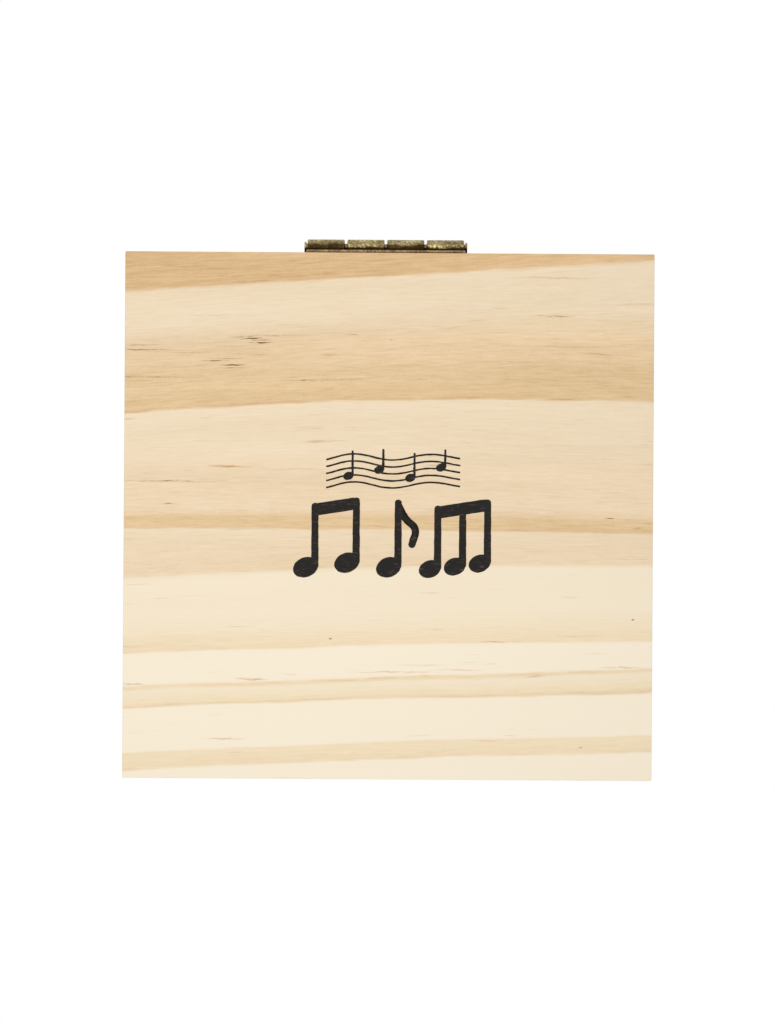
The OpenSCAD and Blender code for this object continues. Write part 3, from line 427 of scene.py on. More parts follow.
# how far a tone lies from the back edge at the middle of the board, in millimetres. A place past
# the front edge of the top is on the board's front face.
LID_RINGS = [
    (4.25, TAN), (4.5, PALE), (11.0, PALE), (16.5, STRAW), (24.0, HONEY), (27.7, HONEY),
    (28.0, PALE), (36.0, PALE), (43.0, BLUSH), (48.6, BLUSH), (50.2, HONEY), (52.3, HONEY),
    (52.6, PALE), (57.5, BLUSH), (59.0, BLUSH), (60.0, CREAM), (68.0, CREAM), (73.9, WHEAT),
    (74.3, IVORY), (79.9, IVORY), (80.3, WHEAT), (80.7, WHEAT), (81.2, CREAM), (83.1, BUTTER),
    (84.1, WHEAT), (84.35, IVORY), (92.2, IVORY), (92.6, BUTTER), (95.3, WHEAT), (95.8, IVORY),
    (101.7, IVORY), (102.8, HONEY),
]
# thin dark lines where a year ends: distance from the back edge and strength
YEAR_LINES = [
    (4.4, 0.35), (27.75, 0.5), (52.4, 0.45), (59.3, 0.3), (74.05, 0.55), (80.5, 0.55),
    (84.2, 0.6), (92.45, 0.6), (95.6, 0.45), (102.8, 0.6),
]
YEAR_LINE_HALF = 0.2
YEAR_LINE_TONE = srgb(208, 158, 96)
print(len(YEAR_LINES), "years end between the back edge and", YEAR_LINES[-1][0], "mm")

# %% [markdown]
# A ring is never quite straight. Two curves say how each one leans and arches on its way from left
# to right, and two noises make the line unsteady as real growth is. The thickness of the board
# takes part too, so the rings run on down its edges at a slant instead of stopping at the corner.
# The fibres get the bent place, not the straight one, so they follow the rings.

# %% The bend of the rings
# distance from the back edge, lean to the right and arch, all in millimetres
RING_BENDS = [
    (4.5, -2.75, 0.3), (27.9, -1.5, 1.5), (52.5, 0.2, 0.2), (59.4, -1.5, 0.75), (74.3, -1.5, 0.55),
    (80.0, -2.1, 0.2), (84.2, -1.7, 0.55), (92.9, -2.0, 0.45), (96.2, -2.0, 0.55),
]
LEAST_BEND, MOST_BEND = -3.0, 2.0
RING_SLANT = 0.55
# noises, and by how many millimetres they move a ring
WANDER, WANDER_MM = ((42, 60, 60), 3.0), 1.1
RAGGED, RAGGED_MM = ((260, 2400, 2400), 2.0), 0.3
# a year line shows only in some places
LINE_PATCHES, LINE_MASK = ((75, 160, 160), 3.0, 0.6, (0.4, 0.1, 0.7)), (0.44, 7.0)
ring_depth = (lid_size.y + RING_SLANT * lid_size.z) / MM


def bend_curve(t, value, heights):
    """A float curve through one height in millimetres for each of the RING_BENDS."""
    made = t.node("ShaderNodeFloatCurve", Value=value)
    points = made.mapping.curves[0].points
    while len(points) < len(heights):
        points.new(0.5, 0.5)
    for point, bend, height in zip(points, RING_BENDS, heights):
        point.location = (bend[0] / ring_depth, (height - LEAST_BEND) / (MOST_BEND - LEAST_BEND))
    made.mapping.update()
    return t.add(t.mul(made.outputs[0], MOST_BEND - LEAST_BEND), LEAST_BEND)


def ring_tones(t, surface, across, from_back, down):
    """The colour of the rings, and the bent place of each point in millimetres from the back."""
    slant = t.add(from_back, t.mul(down, RING_SLANT))
    share = t.div(slant, ring_depth)
    lean = bend_curve(t, share, [lean for place, lean, arch in RING_BENDS])
    arch = bend_curve(t, share, [arch for place, lean, arch in RING_BENDS])
    bend = t.add(t.mul(lean, across), t.mul(arch, t.mul(across, across)))
    bent = t.add(t.sub(slant, bend), t.swing(t.grain(surface, *WANDER), WANDER_MM))
    ring = t.div(t.add(bent, t.swing(t.grain(surface, *RAGGED), RAGGED_MM)), ring_depth)
    colour = t.ramp(ring, [(place / ring_depth, tone) for place, tone in LID_RINGS])
    stops = [(0.0, 0.0)]
    for place, strength in YEAR_LINES:
        for aside, height in ((-YEAR_LINE_HALF, 0.0), (0.0, strength), (YEAR_LINE_HALF, 0.0)):
            stops.append(((place + aside) / ring_depth, height))
    here = t.past(t.grain(surface, *LINE_PATCHES), *LINE_MASK)
    return t.mix(t.mul(t.ramp(ring, stops), here), colour, YEAR_LINE_TONE), bent


print("rings reach", round(ring_depth, 1), "mm, over the top and down the front")

# %% [markdown]
# Resin leaves short dark streaks with needle-thin ends. One streak is a small group: full in the
# middle, and fading to nothing at its tips and sides. Placing the group many times takes more
# nodes than one noise would, but it puts a streak where it is wanted.

# %% One streak
TIP_POWER, SIDE_POWER = 1.3, 2.0

streak_group, g, reads, gives = new_group(
    "resin streak", {"Start": 0.0, "End": 1.0, "Across": 0.0, "Thickness": 0.3, "Strength": 1.0},
    ["Mask"])
at = g.node("ShaderNodeSeparateXYZ", Vector=reads["Vector"]).outputs
middle = g.mul(g.add(reads["Start"], reads["End"]), 0.5)
half = g.mul(g.sub(reads["End"], reads["Start"]), 0.5)
to_tip = g.math("ABSOLUTE", g.div(g.sub(at["X"], middle), half))
to_side = g.math("ABSOLUTE", g.div(g.sub(at["Y"], reads["Across"]), g.mul(reads["Thickness"], 0.5)))
faded = g.add(g.math("POWER", to_tip, TIP_POWER), g.math("POWER", to_side, SIDE_POWER))
g.set(gives["Mask"], g.mul(g.sub(1.0, faded, clamp=True), reads["Strength"]))
print("streak group has", len(streak_group.nodes), "nodes")

# %% The lid's streaks
# start and end from the left edge, distance from the back edge, thickness, all in millimetres,
# and how strong each is
DARK_STREAKS = [
    (19.0, 27.0, 16.0, 0.3, 0.45), (22.6, 29.0, 16.75, 0.26, 0.6), (23.0, 28.5, 19.4, 0.26, 0.5),
    (14.5, 24.0, 20.2, 0.28, 0.4), (17.0, 24.5, 21.9, 0.28, 0.45), (3.0, 19.0, 19.0, 0.26, 0.35),
    (28.5, 40.0, 24.2, 0.3, 0.5), (41.0, 45.0, 15.5, 0.3, 0.4), (49.5, 51.0, 16.4, 0.3, 0.5),
    (3.0, 30.0, 12.0, 0.24, 0.2), (60.0, 82.0, 20.5, 0.3, 0.3), (70.0, 96.0, 17.5, 0.3, 0.28),
    (20.9, 27.4, 16.4, 0.3, 1.0), (22.6, 28.6, 17.2, 0.3, 1.0), (17.7, 39.0, 15.8, 0.5, 0.3),
    (13.6, 20.6, 20.6, 0.28, 0.8), (17.2, 23.6, 21.4, 0.3, 1.0), (-4.0, 8.7, 17.7, 0.4, 0.36),
    (-6.0, 14.0, 18.6, 0.4, 0.48), (-8.0, 17.6, 23.7, 0.45, 0.42), (24.0, 40.0, 41.0, 0.3, 0.3),
    (-9.0, 22.4, 43.4, 0.45, 0.45), (6.2, 10.6, 47.7, 0.34, 0.5), (34.0, 47.0, 24.0, 0.6, 0.45),
    (75.0, 86.6, 11.8, 0.42, 0.5), (89.0, 104.0, 9.5, 0.4, 0.4), (90.2, 93.8, 50.0, 0.34, 0.6),
    (95.6, 98.6, 51.8, 0.34, 0.5), (-3.0, 5.0, 81.8, 0.4, 0.5),
    (38.8, 39.6, 73.0, 0.4, 0.75), (95.9, 96.7, 69.0, 0.4, 0.75), (86.2, 87.0, 93.2, 0.4, 0.65),
]
WARM_STREAKS = [
    (14.6, 25.0, 40.6, 0.55, 0.95), (20.6, 28.0, 80.7, 0.55, 0.8), (41.0, 63.0, 79.2, 0.4, 0.5),
    (58.0, 69.0, 78.7, 0.36, 0.55), (89.0, 99.0, 78.1, 0.36, 0.6), (14.0, 24.6, 92.0, 0.4, 0.55),
    (66.0, 74.0, 73.4, 0.4, 0.7), (72.0, 90.0, 4.6, 0.4, 0.6),
]
WARM_TONE, TAIL_TONE, CORE_TONE = srgb(212, 154, 98), srgb(176, 132, 86), srgb(104, 70, 46)
WARM_GAIN, TAIL_GAIN, TAIL_COVER, CORE_MASK = 0.9, 1.6, 0.6, (0.3, 1.9)
# noises, and by how many millimetres they push a streak off its line
WAVER, WAVER_MM = ((240, 240, 240), 2.0), 0.55
JAG, JAG_MM = ((900, 900, 900), 2.0), 0.3
# a streak is broken up along its length, and fades out just below the board's top
BREAKS, BREAK_LOW, BREAK_SPREAD = ((700, 3400, 3400), 2.0), -0.35, 2.6
FADE_PER_MM = 0.6


def strongest(t, place, streaks):
    """The strongest of several streaks at each point. place is in millimetres."""
    total = None
    for start, end, across, thickness, strength in streaks:
        one = use_group(t, streak_group, Vector=place, Start=start, End=end, Across=across,
                        Thickness=thickness, Strength=strength)["Mask"]
        total = one if total is None else t.math("MAXIMUM", total, one)
    return total


def add_resin(t, surface, from_left, from_back, down, colour):
    """Lays the warm streaks and the dark ones over the rings."""
    waver = t.add(t.swing(t.grain(surface, *WAVER), WAVER_MM), t.swing(t.grain(surface, *JAG), JAG_MM))
    place = t.node("ShaderNodeCombineXYZ", X=from_left, Y=t.add(from_back, waver)).outputs[0]
    near_top = t.sub(1.0, t.mul(down, FADE_PER_MM), clamp=True)
    broken = t.add(BREAK_LOW, t.mul(BREAK_SPREAD, t.grain(surface, *BREAKS)))
    showing = t.mul(near_top, broken)
    warm = t.mul(strongest(t, place, WARM_STREAKS), showing)
    dark = t.mul(strongest(t, place, DARK_STREAKS), showing)
    colour = t.mix(t.mul(warm, WARM_GAIN, clamp=True), colour, WARM_TONE)
    tails = t.mul(t.mul(dark, TAIL_GAIN, clamp=True), TAIL_COVER)
    colour = t.mix(tails, colour, TAIL_TONE)
    return t.mix(t.past(dark, *CORE_MASK), colour, CORE_TONE)


print("streaks:", len(DARK_STREAKS), "dark and", len(WARM_STREAKS), "warm")

# %% [markdown]
# The lid's own material measures each point from the board's edges, in millimetres, and hands that
# to the rings and the streaks. Object coordinates need no unwrapping, and they carry the figure
# round the edges of the board, so that it looks sawn from one piece.

# %% Lid board material
PINE_GLOSS = 0.3
LID_STREAKS = 0.8


def lid_pine():
    material, t, shader, surface = new_material("lid pine", Specular_IOR_Level=PINE_GLOSS)
    at = t.node("ShaderNodeSeparateXYZ", Vector=surface).outputs
    across = t.div(t.sub(at["X"], lid_mid.x), lid_size.x / 2)
    from_back = t.mul(t.sub(lid_high.y, at["Y"]), 1 / MM)
    from_left = t.mul(t.sub(at["X"], lid_low.x), 1 / MM)
    down = t.mul(t.sub(lid_high.z, at["Z"]), 1 / MM)
    colour, bent = ring_tones(t, surface, across, from_back, down)
    colour = add_resin(t, surface, from_left, from_back, down, colour)
    along = t.node("ShaderNodeCombineXYZ", X=at["X"], Y=t.mul(bent, MM), Z=at["Z"])
    fibres = use_group(t, fibre_group, Vector=along.outputs[0], Streaks=LID_STREAKS)
    finish_pine(t, shader, surface, colour, fibres, (1, 0, 0))
    return material


pine_lid = lid_pine()
print("lid pine:", len(pine_lid.node_tree.nodes), "nodes")

# %% [markdown]
# The walls come from other boards, and nobody looks for one certain ring in them. So their rings
# are a rule: a saw-tooth of the distance across the board, bent by slow noise. Each board gets
# its own direction of grain and its own offset, so no two show the same figure.

# %% Wall pine and plywood
WALL_WANDER, WALL_WANDER_SIZE = ((14, 40, 40), 3.0), 0.009
WALL_SLANT, WALL_LEAN = 0.45, 0.05
PINE_TONES = [(0.0, PALE), (0.35, PALE), (0.7, BLUSH), (0.93, HONEY), (1.0, TAN)]
PLY_TONES = [(0.0, STRAW), (0.5, BLUSH), (0.9, HONEY), (1.0, STRAW)]


def ruled_pine(name, grain, across, shift, spacing, tones=PINE_TONES, streaks=0.7):
    """grain and across are axis numbers, and spacing is the width of a year in metres."""
    material, t, shader, surface = new_material(name, Specular_IOR_Level=PINE_GLOSS)
    axes = t.node("ShaderNodeSeparateXYZ", Vector=surface).outputs
    third = 3 - grain - across
    local = t.node("ShaderNodeCombineXYZ", X=axes[grain], Y=axes[across], Z=axes[third])
    moved = t.stretch(local.outputs[0], (1, 1, 1), shift)
    at = t.node("ShaderNodeSeparateXYZ", Vector=moved).outputs
    place = t.add(at["Y"], t.mul(at["Z"], WALL_SLANT))
    place = t.add(place, t.mul(at["X"], WALL_LEAN))
    place = t.add(place, t.swing(t.grain(moved, *WALL_WANDER), WALL_WANDER_SIZE))
    colour = t.ramp(t.math("FRACT", t.div(place, spacing)), tones)
    fibres = use_group(t, fibre_group, Vector=moved, Streaks=streaks)
    finish_pine(t, shader, surface, colour, fibres, [int(axis == grain) for axis in range(3)])
    return material


pine_front = ruled_pine("front pine", 0, 2, (0.31, 0.012, 0.02), 0.0125)
pine_back = ruled_pine("back pine", 0, 2, (0.77, 0.003, 0.05), 0.0145)
pine_left = ruled_pine("left pine", 1, 2, (0.15, 0.007, 0.09), 0.0135)
pine_right = ruled_pine("right pine", 1, 2, (0.52, 0.001, 0.13), 0.0115)
pine_inner = ruled_pine("inner pine", 0, 2, (0.93, 0.004, 0.17), 0.0095, streaks=0.4)
plywood = ruled_pine("floor plywood", 0, 1, (0.41, 0.009, 0.21), 0.019, PLY_TONES, 0.3)
print("ruled boards, from", pine_front.name, "to", plywood.name)

# %% [markdown]
# ## Metals
# Old hinge brass isn't one colour. Its high spots are rubbed bright, and dark tarnish sits in the
# pits. The group below gives a mask of both. The tarnish is a noise, since it settles anywhere,
# and the pits are the middles of small cells, since corrosion eats round holes.

# %% Tarnish group
SPOTS, CLOUDS, PIT_SCALE = (2300.0, 4.0, 0.65), (420.0, 3.0), 3200.0
PIT_MASK, TARNISH_MASK, BRIGHT_MASK = (0.32, -3.0), (0.95, 6.0), (0.46, -8.0)
SPOT_SHARE, PIT_DEPTH = 0.6, 0.8

tarnish_group, g, reads, gives = new_group("tarnish", {"Amount": 0.5}, ["Dark", "Bright", "Height"])
spot = g.noise(reads["Vector"], *SPOTS)
mixed = g.blend(spot, g.noise(reads["Vector"], *CLOUDS), SPOT_SHARE)
cells = g.node("ShaderNodeTexVoronoi", Vector=reads["Vector"], Scale=PIT_SCALE)
pits = g.mul(g.past(cells.outputs["Distance"], *PIT_MASK), PIT_DEPTH)
tarnished = g.past(g.add(mixed, reads["Amount"]), *TARNISH_MASK)
g.set(gives["Dark"], g.math("MAXIMUM", tarnished, pits))
g.set(gives["Bright"], g.past(mixed, *BRIGHT_MASK))
g.set(gives["Height"], g.sub(spot, pits))
print("tarnish group has", len(tarnish_group.nodes), "nodes")

# %% [markdown]
# Where the hinge is bright isn't chance: it is painted light. A painted highlight brightens the
# metal behind the pin, painted shade darkens it towards the wood and most above the pin, and a
# painted highlight lies along the upper edge of a leaf. All three are distances, so they come from the
# place.

# %% Hinge brass
TARNISH_AMOUNT, TARNISH_COVER, TARNISH = 0.52, 0.62, srgb(54, 41, 24)
# painted shade: the brass towards the wood, a lighter tone below the pin and a darker one above it
SHADE_PAINT_BELOW_PIN, SHADE_PAINT_ABOVE_PIN = srgb(140, 116, 72), srgb(66, 49, 29)
# painted highlight colours: the brass behind the pin, and the upper edge of a leaf
HIGHLIGHT_PAINT, EDGE_HIGHLIGHT_PAINT = srgb(224, 204, 146), srgb(122, 104, 74)
# how far behind the pin's middle the painted highlight begins, for either leaf
LID_LEAF_HIGHLIGHT, CASE_LEAF_HIGHLIGHT = 0.25 * MM, -0.15 * MM
PAINTED_LIGHT_FADE = 0.5 * MM
LEAF_EDGE = 0.15 * MM
PATCH_SCALE, PATCH_SWING = 260.0, 2.2
HIGHLIGHT_LEAST, HIGHLIGHT_BRIGHT = 0.7, 0.9
BRASS_ROUGH, BRASS_ROUGH_DARK = 0.34, 0.35
BRASS_BUMP = (0.5, 0.06 * MM)

pin_low, pin_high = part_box("hinge_pin")
pin_mid = (pin_low + pin_high) / 2
leaf_low, leaf_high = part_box("hinge_leaf_lid")


def tarnished_brass_painted_light(name, highlight_from):
    material, t, shader, surface = new_material(name, Metallic=1.0)
    marks = use_group(t, tarnish_group, Vector=surface, Amount=TARNISH_AMOUNT)
    at = t.node("ShaderNodeSeparateXYZ", Vector=surface).outputs
    # painted highlight: the metal behind the pin is made brighter, broken up by noise and the rubbed
    # spots
    outward = t.div(t.sub(at["Y"], pin_mid.y + highlight_from), PAINTED_LIGHT_FADE)
    painted_highlight = t.add(outward, t.swing(t.noise(surface, PATCH_SCALE), PATCH_SWING), clamp=True)
    painted_highlight = t.mul(painted_highlight, t.add(HIGHLIGHT_LEAST, t.mul(marks["Bright"], HIGHLIGHT_BRIGHT)))
    # painted shade: the metal towards the wood is made darker, darkest above the pin
    above_pin = t.div(t.sub(at["Z"], pin_mid.z), PAINTED_LIGHT_FADE, clamp=True)
    colour = t.mix(painted_highlight, t.mix(above_pin, SHADE_PAINT_BELOW_PIN, SHADE_PAINT_ABOVE_PIN), HIGHLIGHT_PAINT)
    colour = t.mix(t.mul(marks["Dark"], TARNISH_COVER), colour, TARNISH)
    # painted highlight: a lighter strip on the outer part of a leaf's upper edge
    upper = t.past(at["Z"], leaf_high.z - LEAF_EDGE, 1 / LEAF_EDGE)
    clear_of_wood = t.past(at["Y"], leaf_low.y + LEAF_EDGE, 1 / LEAF_EDGE)
    t.set(shader["Base Color"], t.mix(t.mul(upper, clear_of_wood), colour, EDGE_HIGHLIGHT_PAINT))
    t.set(shader["Roughness"], t.add(BRASS_ROUGH, t.mul(marks["Dark"], BRASS_ROUGH_DARK)))
    t.set(shader["Normal"], t.bump(marks["Height"], *BRASS_BUMP))
    return material


lid_leaf_brass = tarnished_brass_painted_light("lid leaf brass", LID_LEAF_HIGHLIGHT)
case_leaf_brass = tarnished_brass_painted_light("case leaf brass", CASE_LEAF_HIGHLIGHT)
print("hinge pin at", [round(v / MM, 2) for v in pin_mid], "mm")

# %% [markdown]
# The movement is newer and cleaner. Turned brass, ground steel and cast zinc differ mainly in how
# their tool marks run, so one group makes the marks, and each metal stretches it its own way.

# %% Machined metals
LINES, PITTING, WEAR = (1.0, 2.0), (3.1, 4.0, 0.7), (0.08, 3.0)
WEAR_MASK = (0.35, 3.0)
ROUGH_BELOW, ROUGH_SPREAD = 0.08, 0.16
MARK_DEPTH = 0.03 * MM

mark_group, g, reads, gives = new_group("tool marks", {}, ["Lines", "Pitting", "Wear"])
for label, noise in (("Lines", LINES), ("Pitting", PITTING), ("Wear", WEAR)):
    g.set(gives[label], g.noise(reads["Vector"], *noise))


def metal(name, colour, worn, roughness, fineness, line_bump=0.2):
    """A machined metal. fineness sets the direction and the width of the tool marks."""
    material, t, shader, surface = new_material(name, Metallic=1.0)
    marks = use_group(t, mark_group, Vector=t.stretch(surface, fineness))
    wear = t.past(marks["Wear"], *WEAR_MASK)
    t.set(shader["Base Color"], t.mix(wear, srgb(*colour), srgb(*worn)))
    t.set(shader["Roughness"], t.add(roughness - ROUGH_BELOW, t.mul(marks["Pitting"], ROUGH_SPREAD)))
    t.set(shader["Normal"], t.bump(marks["Lines"], line_bump, MARK_DEPTH))
    return material


turned_brass = metal("turned brass", (214, 178, 106), (198, 158, 84), 0.26, (9000, 700, 700))
sheet_brass = metal("sheet brass", (206, 172, 104), (190, 150, 82), 0.32, (900, 900, 6000))
barrel_brass = metal("barrel brass", (212, 176, 108), (192, 152, 84), 0.28, (900, 900, 9000))
ground_steel = metal("ground steel", (196, 198, 200), (178, 180, 184), 0.3, (9000, 900, 900))
bright_steel = metal("bright steel", (190, 190, 192), (170, 171, 175), 0.27, (1500, 1500, 1500))
screw_steel = metal("screw steel", (186, 187, 190), (160, 162, 166), 0.3, (2500, 2500, 2500))
cast_zinc = metal("cast zinc", (168, 170, 172), (146, 148, 151), 0.48, (1800, 1800, 1800), 0.5)
nickel = metal("nickel plate", (204, 202, 198), (188, 186, 183), 0.16, (1200, 1200, 1200), 0.08)
blued = metal("blued spring", (62, 72, 98), (44, 50, 66), 0.3, (900, 900, 6000))
print("mark group has", len(mark_group.nodes), "nodes")

# %% [markdown]
# ## Soft and clear materials
# The tray is lined with felt and the corners stand on rubber. Felt is a mat of fibres with no
# direction, so its noise is even, and a little sheen lifts its edges. Rubber is the same with a
# finer grit and no sheen.

# %% Felt and rubber
HAIRS, TUFTS, HAIR_SHARE = (2600.0, 5.0, 0.7), (420.0, 3.0), 0.7
FELT_TONES = [(0.3, srgb(58, 14, 20)), (0.5, srgb(96, 24, 32)), (0.72, srgb(132, 44, 50))]
FELT_BUMP = (0.8, 0.3 * MM)
GRIT = (3000.0, 3.0)
RUBBER_TONES = [(0.3, srgb(22, 22, 23)), (0.8, srgb(46, 46, 47))]
RUBBER_BUMP = (0.3, 0.1 * MM)


def felt_material():
    material, t, shader, surface = new_material(
        "red felt", Roughness=0.95, Sheen_Weight=0.4, Sheen_Roughness=0.5, Specular_IOR_Level=0.1)
    hairs = t.noise(surface, *HAIRS)
    shade = t.blend(hairs, t.noise(surface, *TUFTS), HAIR_SHARE)
    t.set(shader["Base Color"], t.ramp(shade, FELT_TONES))
    t.set(shader["Normal"], t.bump(hairs, *FELT_BUMP))
    return material


def rubber_material():
    material, t, shader, surface = new_material("black rubber", Roughness=0.8)
    grit = t.noise(surface, *GRIT)
    t.set(shader["Base Color"], t.ramp(grit, RUBBER_TONES))
    t.set(shader["Normal"], t.bump(grit, *RUBBER_BUMP))
    return material


felt = felt_material()
rubber = rubber_material()
print("made", felt.name, "and", rubber.name)

# %% [markdown]
# The cover over the movement is a clear sheet. Light bends at both of its faces, so hardly a ray
# from below would find the lamp, and the movement would look dark. Shadow rays and scattered light
# therefore pass nearly freely, while the eye still gets the true refraction and gloss.

# %% Clear cover
SMUDGES, SMUDGE_MASK = (90.0, 4.0), (0.5, 0.12)
COVER_PASS = 0.92


def clear_material():
    material, t, shader, surface = new_material(
        "clear acrylic", Base_Color=(0.97, 0.99, 1.0), Transmission_Weight=1.0, IOR=1.49)
    path = t.node("ShaderNodeLightPath").outputs
    passing = t.math("MAXIMUM", path["Is Shadow Ray"], path["Is Diffuse Ray"])
    t.set(shader["Alpha"], t.sub(1.0, t.mul(passing, COVER_PASS)))
    t.set(shader["Roughness"], t.past(t.noise(surface, *SMUDGES), *SMUDGE_MASK))
    return material


clear_acrylic = clear_material()
print("made", clear_acrylic.name)

# %% [markdown]
# The ink on the lid is printed with a soft pad. It is nearly black, and paler in small spots where
# the pad missed the grain, so its noise runs along the grain as the fibres do.

# %% Ink
INK_SPOTS = ((700, 2600, 2600), 3.0, 0.65)
INK_TONES = [(0.0, srgb(18, 14, 11)), (0.58, srgb(28, 24, 20)), (0.74, srgb(84, 72, 62))]
INK_BUMP = (0.2, 0.03 * MM)


def ink_material():
    material, t, shader, surface = new_material("printed ink", Roughness=0.62, Specular_IOR_Level=0.2)
    spots = t.grain(surface, *INK_SPOTS)
    t.set(shader["Base Color"], t.ramp(spots, INK_TONES))
    t.set(shader["Normal"], t.bump(spots, *INK_BUMP))
    return material


ink = ink_material()
print("materials:", len(bpy.data.materials))

# %% [markdown]
# ## Dressing the CAD parts
# A CAD part whose shape is right only needs its finish. The list says which parts each finish
# goes on, since a workshop too would plate or plane like parts together.

# %% Finishes of the CAD parts
FINISHES = [
    (pine_lid, "lid"),
    (pine_front, "front_wall"),
    (pine_back, "back_wall"),
    (pine_left, "left_wall cover_ledges"),
    (pine_right, "right_wall"),
    (pine_inner, "divider"),
    (plywood, "floor_panel"),
    (lid_leaf_brass, "hinge_leaf_lid hinge_screws_lid"),
    (case_leaf_brass, "hinge_leaf_case hinge_screws_case hinge_pin"),
    (cast_zinc, "bedplate barrel_bridge left_bearing right_bearing comb_base governor_frame"),
    (barrel_brass, "spring_barrel barrel_cap"),
    (turned_brass, "cylinder cylinder_wheel worm_wheel"),
    (sheet_brass, "fly click_spring"),
    (ground_steel, "comb"),
    (blued, "mainspring"),
    (bright_steel, "winding_arbor ratchet_wheel click cylinder_arbor cylinder_pinion"
                   " governor_arbor worm endstone_cap stop_rod stop_spring"),
    (screw_steel, "bedplate_screws bridge_screws click_screws bearing_screws comb_screws"
                  " governor_screws"),
    (nickel, "winding_key"),
    (rubber, "feet"),
    (felt, "tray_felt"),
    (clear_acrylic, "cover_pane"),
]
dressed = 0
for finish, names in FINISHES:
    for name in names.split():
        dress(nodes[name], finish)
        dressed += 1
print("dressed", dressed, "of", len(nodes), "CAD parts")

# %% [markdown]
# ## The printed ornament
# The lid carries a small print: a light row above a bold row. Here it is a length of five-line
# stave over a bar of bold music notes, which belongs to no one. Each stroke starts as a flat
# outline: a note's head and a straight stroke are a filled circle, stretched, and a curved stroke
# is a ribbon along a curve. The outline is roughened and pulled up to the thickness of ink. A
# picture of the ornament would be quicker, but it would blur close up.

# %% Straight pen strokes
INK_T = 0.04 * MM
EDGE_NOISE = 0.05 * MM
OVAL_SIDES, TIP_SIDES = 28, 16
LONG_SIDE = 0.7
STROKE_STEP = 0.8 * MM
ink_low = lid_high.z - INK_T


def lid_point(right, down):
    """A point on the lid's top. right and down are millimetres from its back left corner."""
    return Vector((lid_low.x + right * MM, lid_high.y - down * MM, ink_low))


def pull_up(obj, seed):
    """Roughens a flat outline as a stamp does on wood, and pulls it up to the thickness of ink."""
    choose(obj, "VERT", lambda vert: True)
    bpy.ops.transform.vertex_random(offset=EDGE_NOISE, seed=seed)
    bpy.ops.transform.resize(value=(1, 1, 0), center_override=(0, 0, ink_low))
    bpy.ops.mesh.extrude_region_move(TRANSFORM_OT_translate={"value": (0, 0, INK_T)})
    bpy.ops.mesh.select_all(action="SELECT")
    bpy.ops.mesh.normals_make_consistent(inside=False)
    done()
    return obj


def disc(place, sides, radius, turn):
    """A filled circle, lying flat."""
    clear_selection()
    bpy.ops.mesh.primitive_circle_add(vertices=sides, radius=radius, fill_type="NGON",
                                      location=place, rotation=(0, 0, turn))
    return bpy.context.object


def oval(right, down, long, wide, tilt, seed):
    """A filled oval, such as the head of a note. Its sizes are in millimetres."""
    obj = disc(lid_point(right, down), OVAL_SIDES, MM / 2, math.radians(tilt))
    obj.scale = (long, wide, 1)
    return pull_up(settle(obj), seed)


def edge_length(obj, edge):
    first, second = (obj.data.vertices[i].co for i in edge.vertices)
    return (first - second).length


def stroke(start, end, width, seed):
    """A straight pen stroke between two points, with round ends and uneven sides."""
    a, b = lid_point(*start), lid_point(*end)
    span = b - a
    obj = settle(disc(a, TIP_SIDES, width * MM / 2, math.atan2(span.y, span.x)))
    choose(obj, "VERT", lambda vert: (vert.co - a).dot(span) > 0)
    bpy.ops.transform.translate(value=span)
    choose(obj, "EDGE", lambda edge: edge_length(obj, edge) > LONG_SIDE * span.length)
    bpy.ops.mesh.subdivide(number_cuts=max(1, int(span.length / STROKE_STEP)))
    done()
    return pull_up(obj, seed)


print("ink is", INK_T / MM, "mm thick")

# %% Curved pen strokes
RIBBON_STEPS = 10
EDGE_ON = math.radians(90)


def sweep(points, width, seed):
    """A pen stroke of even width along a smooth line through the points."""
    clear_selection()
    bpy.ops.curve.primitive_bezier_curve_add(location=(0, 0, 0))
    obj = bpy.context.object
    spline = obj.data.splines[0]
    spline.bezier_points.add(len(points) - 2)
    for knot, place in zip(spline.bezier_points, points):
        knot.co = lid_point(*place)
        knot.handle_left_type = knot.handle_right_type = "AUTO"
        knot.tilt = EDGE_ON
    obj.data.resolution_u = RIBBON_STEPS
    obj.data.extrude = width * MM / 2
    obj.data.twist_mode = "Z_UP"
    pick(obj)
    bpy.ops.object.convert(target="MESH")
    return pull_up(bpy.context.object, seed)


print("a curved stroke has", RIBBON_STEPS, "steps between two points")

# %% [markdown]
# A note is an oval head, a stem that is flush with the head's right side, and perhaps a flag or a
# beam. So each of them is a function, and the rows below only say where notes stand.

# %% Notes
HEAD_TILT = 22
HEAD_ROUND = 0.76
STEM_START = 0.3
STEM, BEAM = 1.4, 2.4
BEAM_RISE = 0.13
FLAG = [(0, 0.4), (1.5, 3.0), (3.2, 4.9), (2.65, 7.75)]
BEAM_SEED = 9


def note(right, foot, top, size, pen, seed):
    """The head and stem of a note. The stem's right side is flush with the head's."""
    stem = right + 0.5 * size - pen / 2
    return stem, [oval(right, foot, size, HEAD_ROUND * size, HEAD_TILT, seed),
                  stroke((stem, foot - STEM_START), (stem, top), pen, seed + 1)]


def flagged_note(right, foot, top, size, seed):
    stem, made = note(right, foot, top, size, STEM, seed)
    flag = [(stem + x, top + y) for x, y in FLAG]
    return made + [sweep(flag, STEM, seed + 2), oval(*flag[-1], STEM, STEM, 0, seed + 3)]


def beamed_notes(places, top, size, seed):
    """Notes under one slanting beam, whose ends are flush with the outer stems."""
    made, stems = [], []
    for right, foot in places:
        beam = top - (right - places[0][0]) * BEAM_RISE
        stem, pieces = note(right, foot, beam, size, STEM, seed + len(made))
        stems.append((stem, beam))
        made += pieces
    inset = (BEAM - STEM) / 2
    start = (stems[0][0] + inset, stems[0][1] + inset)
    end = (stems[-1][0] - inset, stems[-1][1] + inset)
    return made + [stroke(start, end, BEAM, seed + BEAM_SEED)]


print("a flag has", len(FLAG), "points")

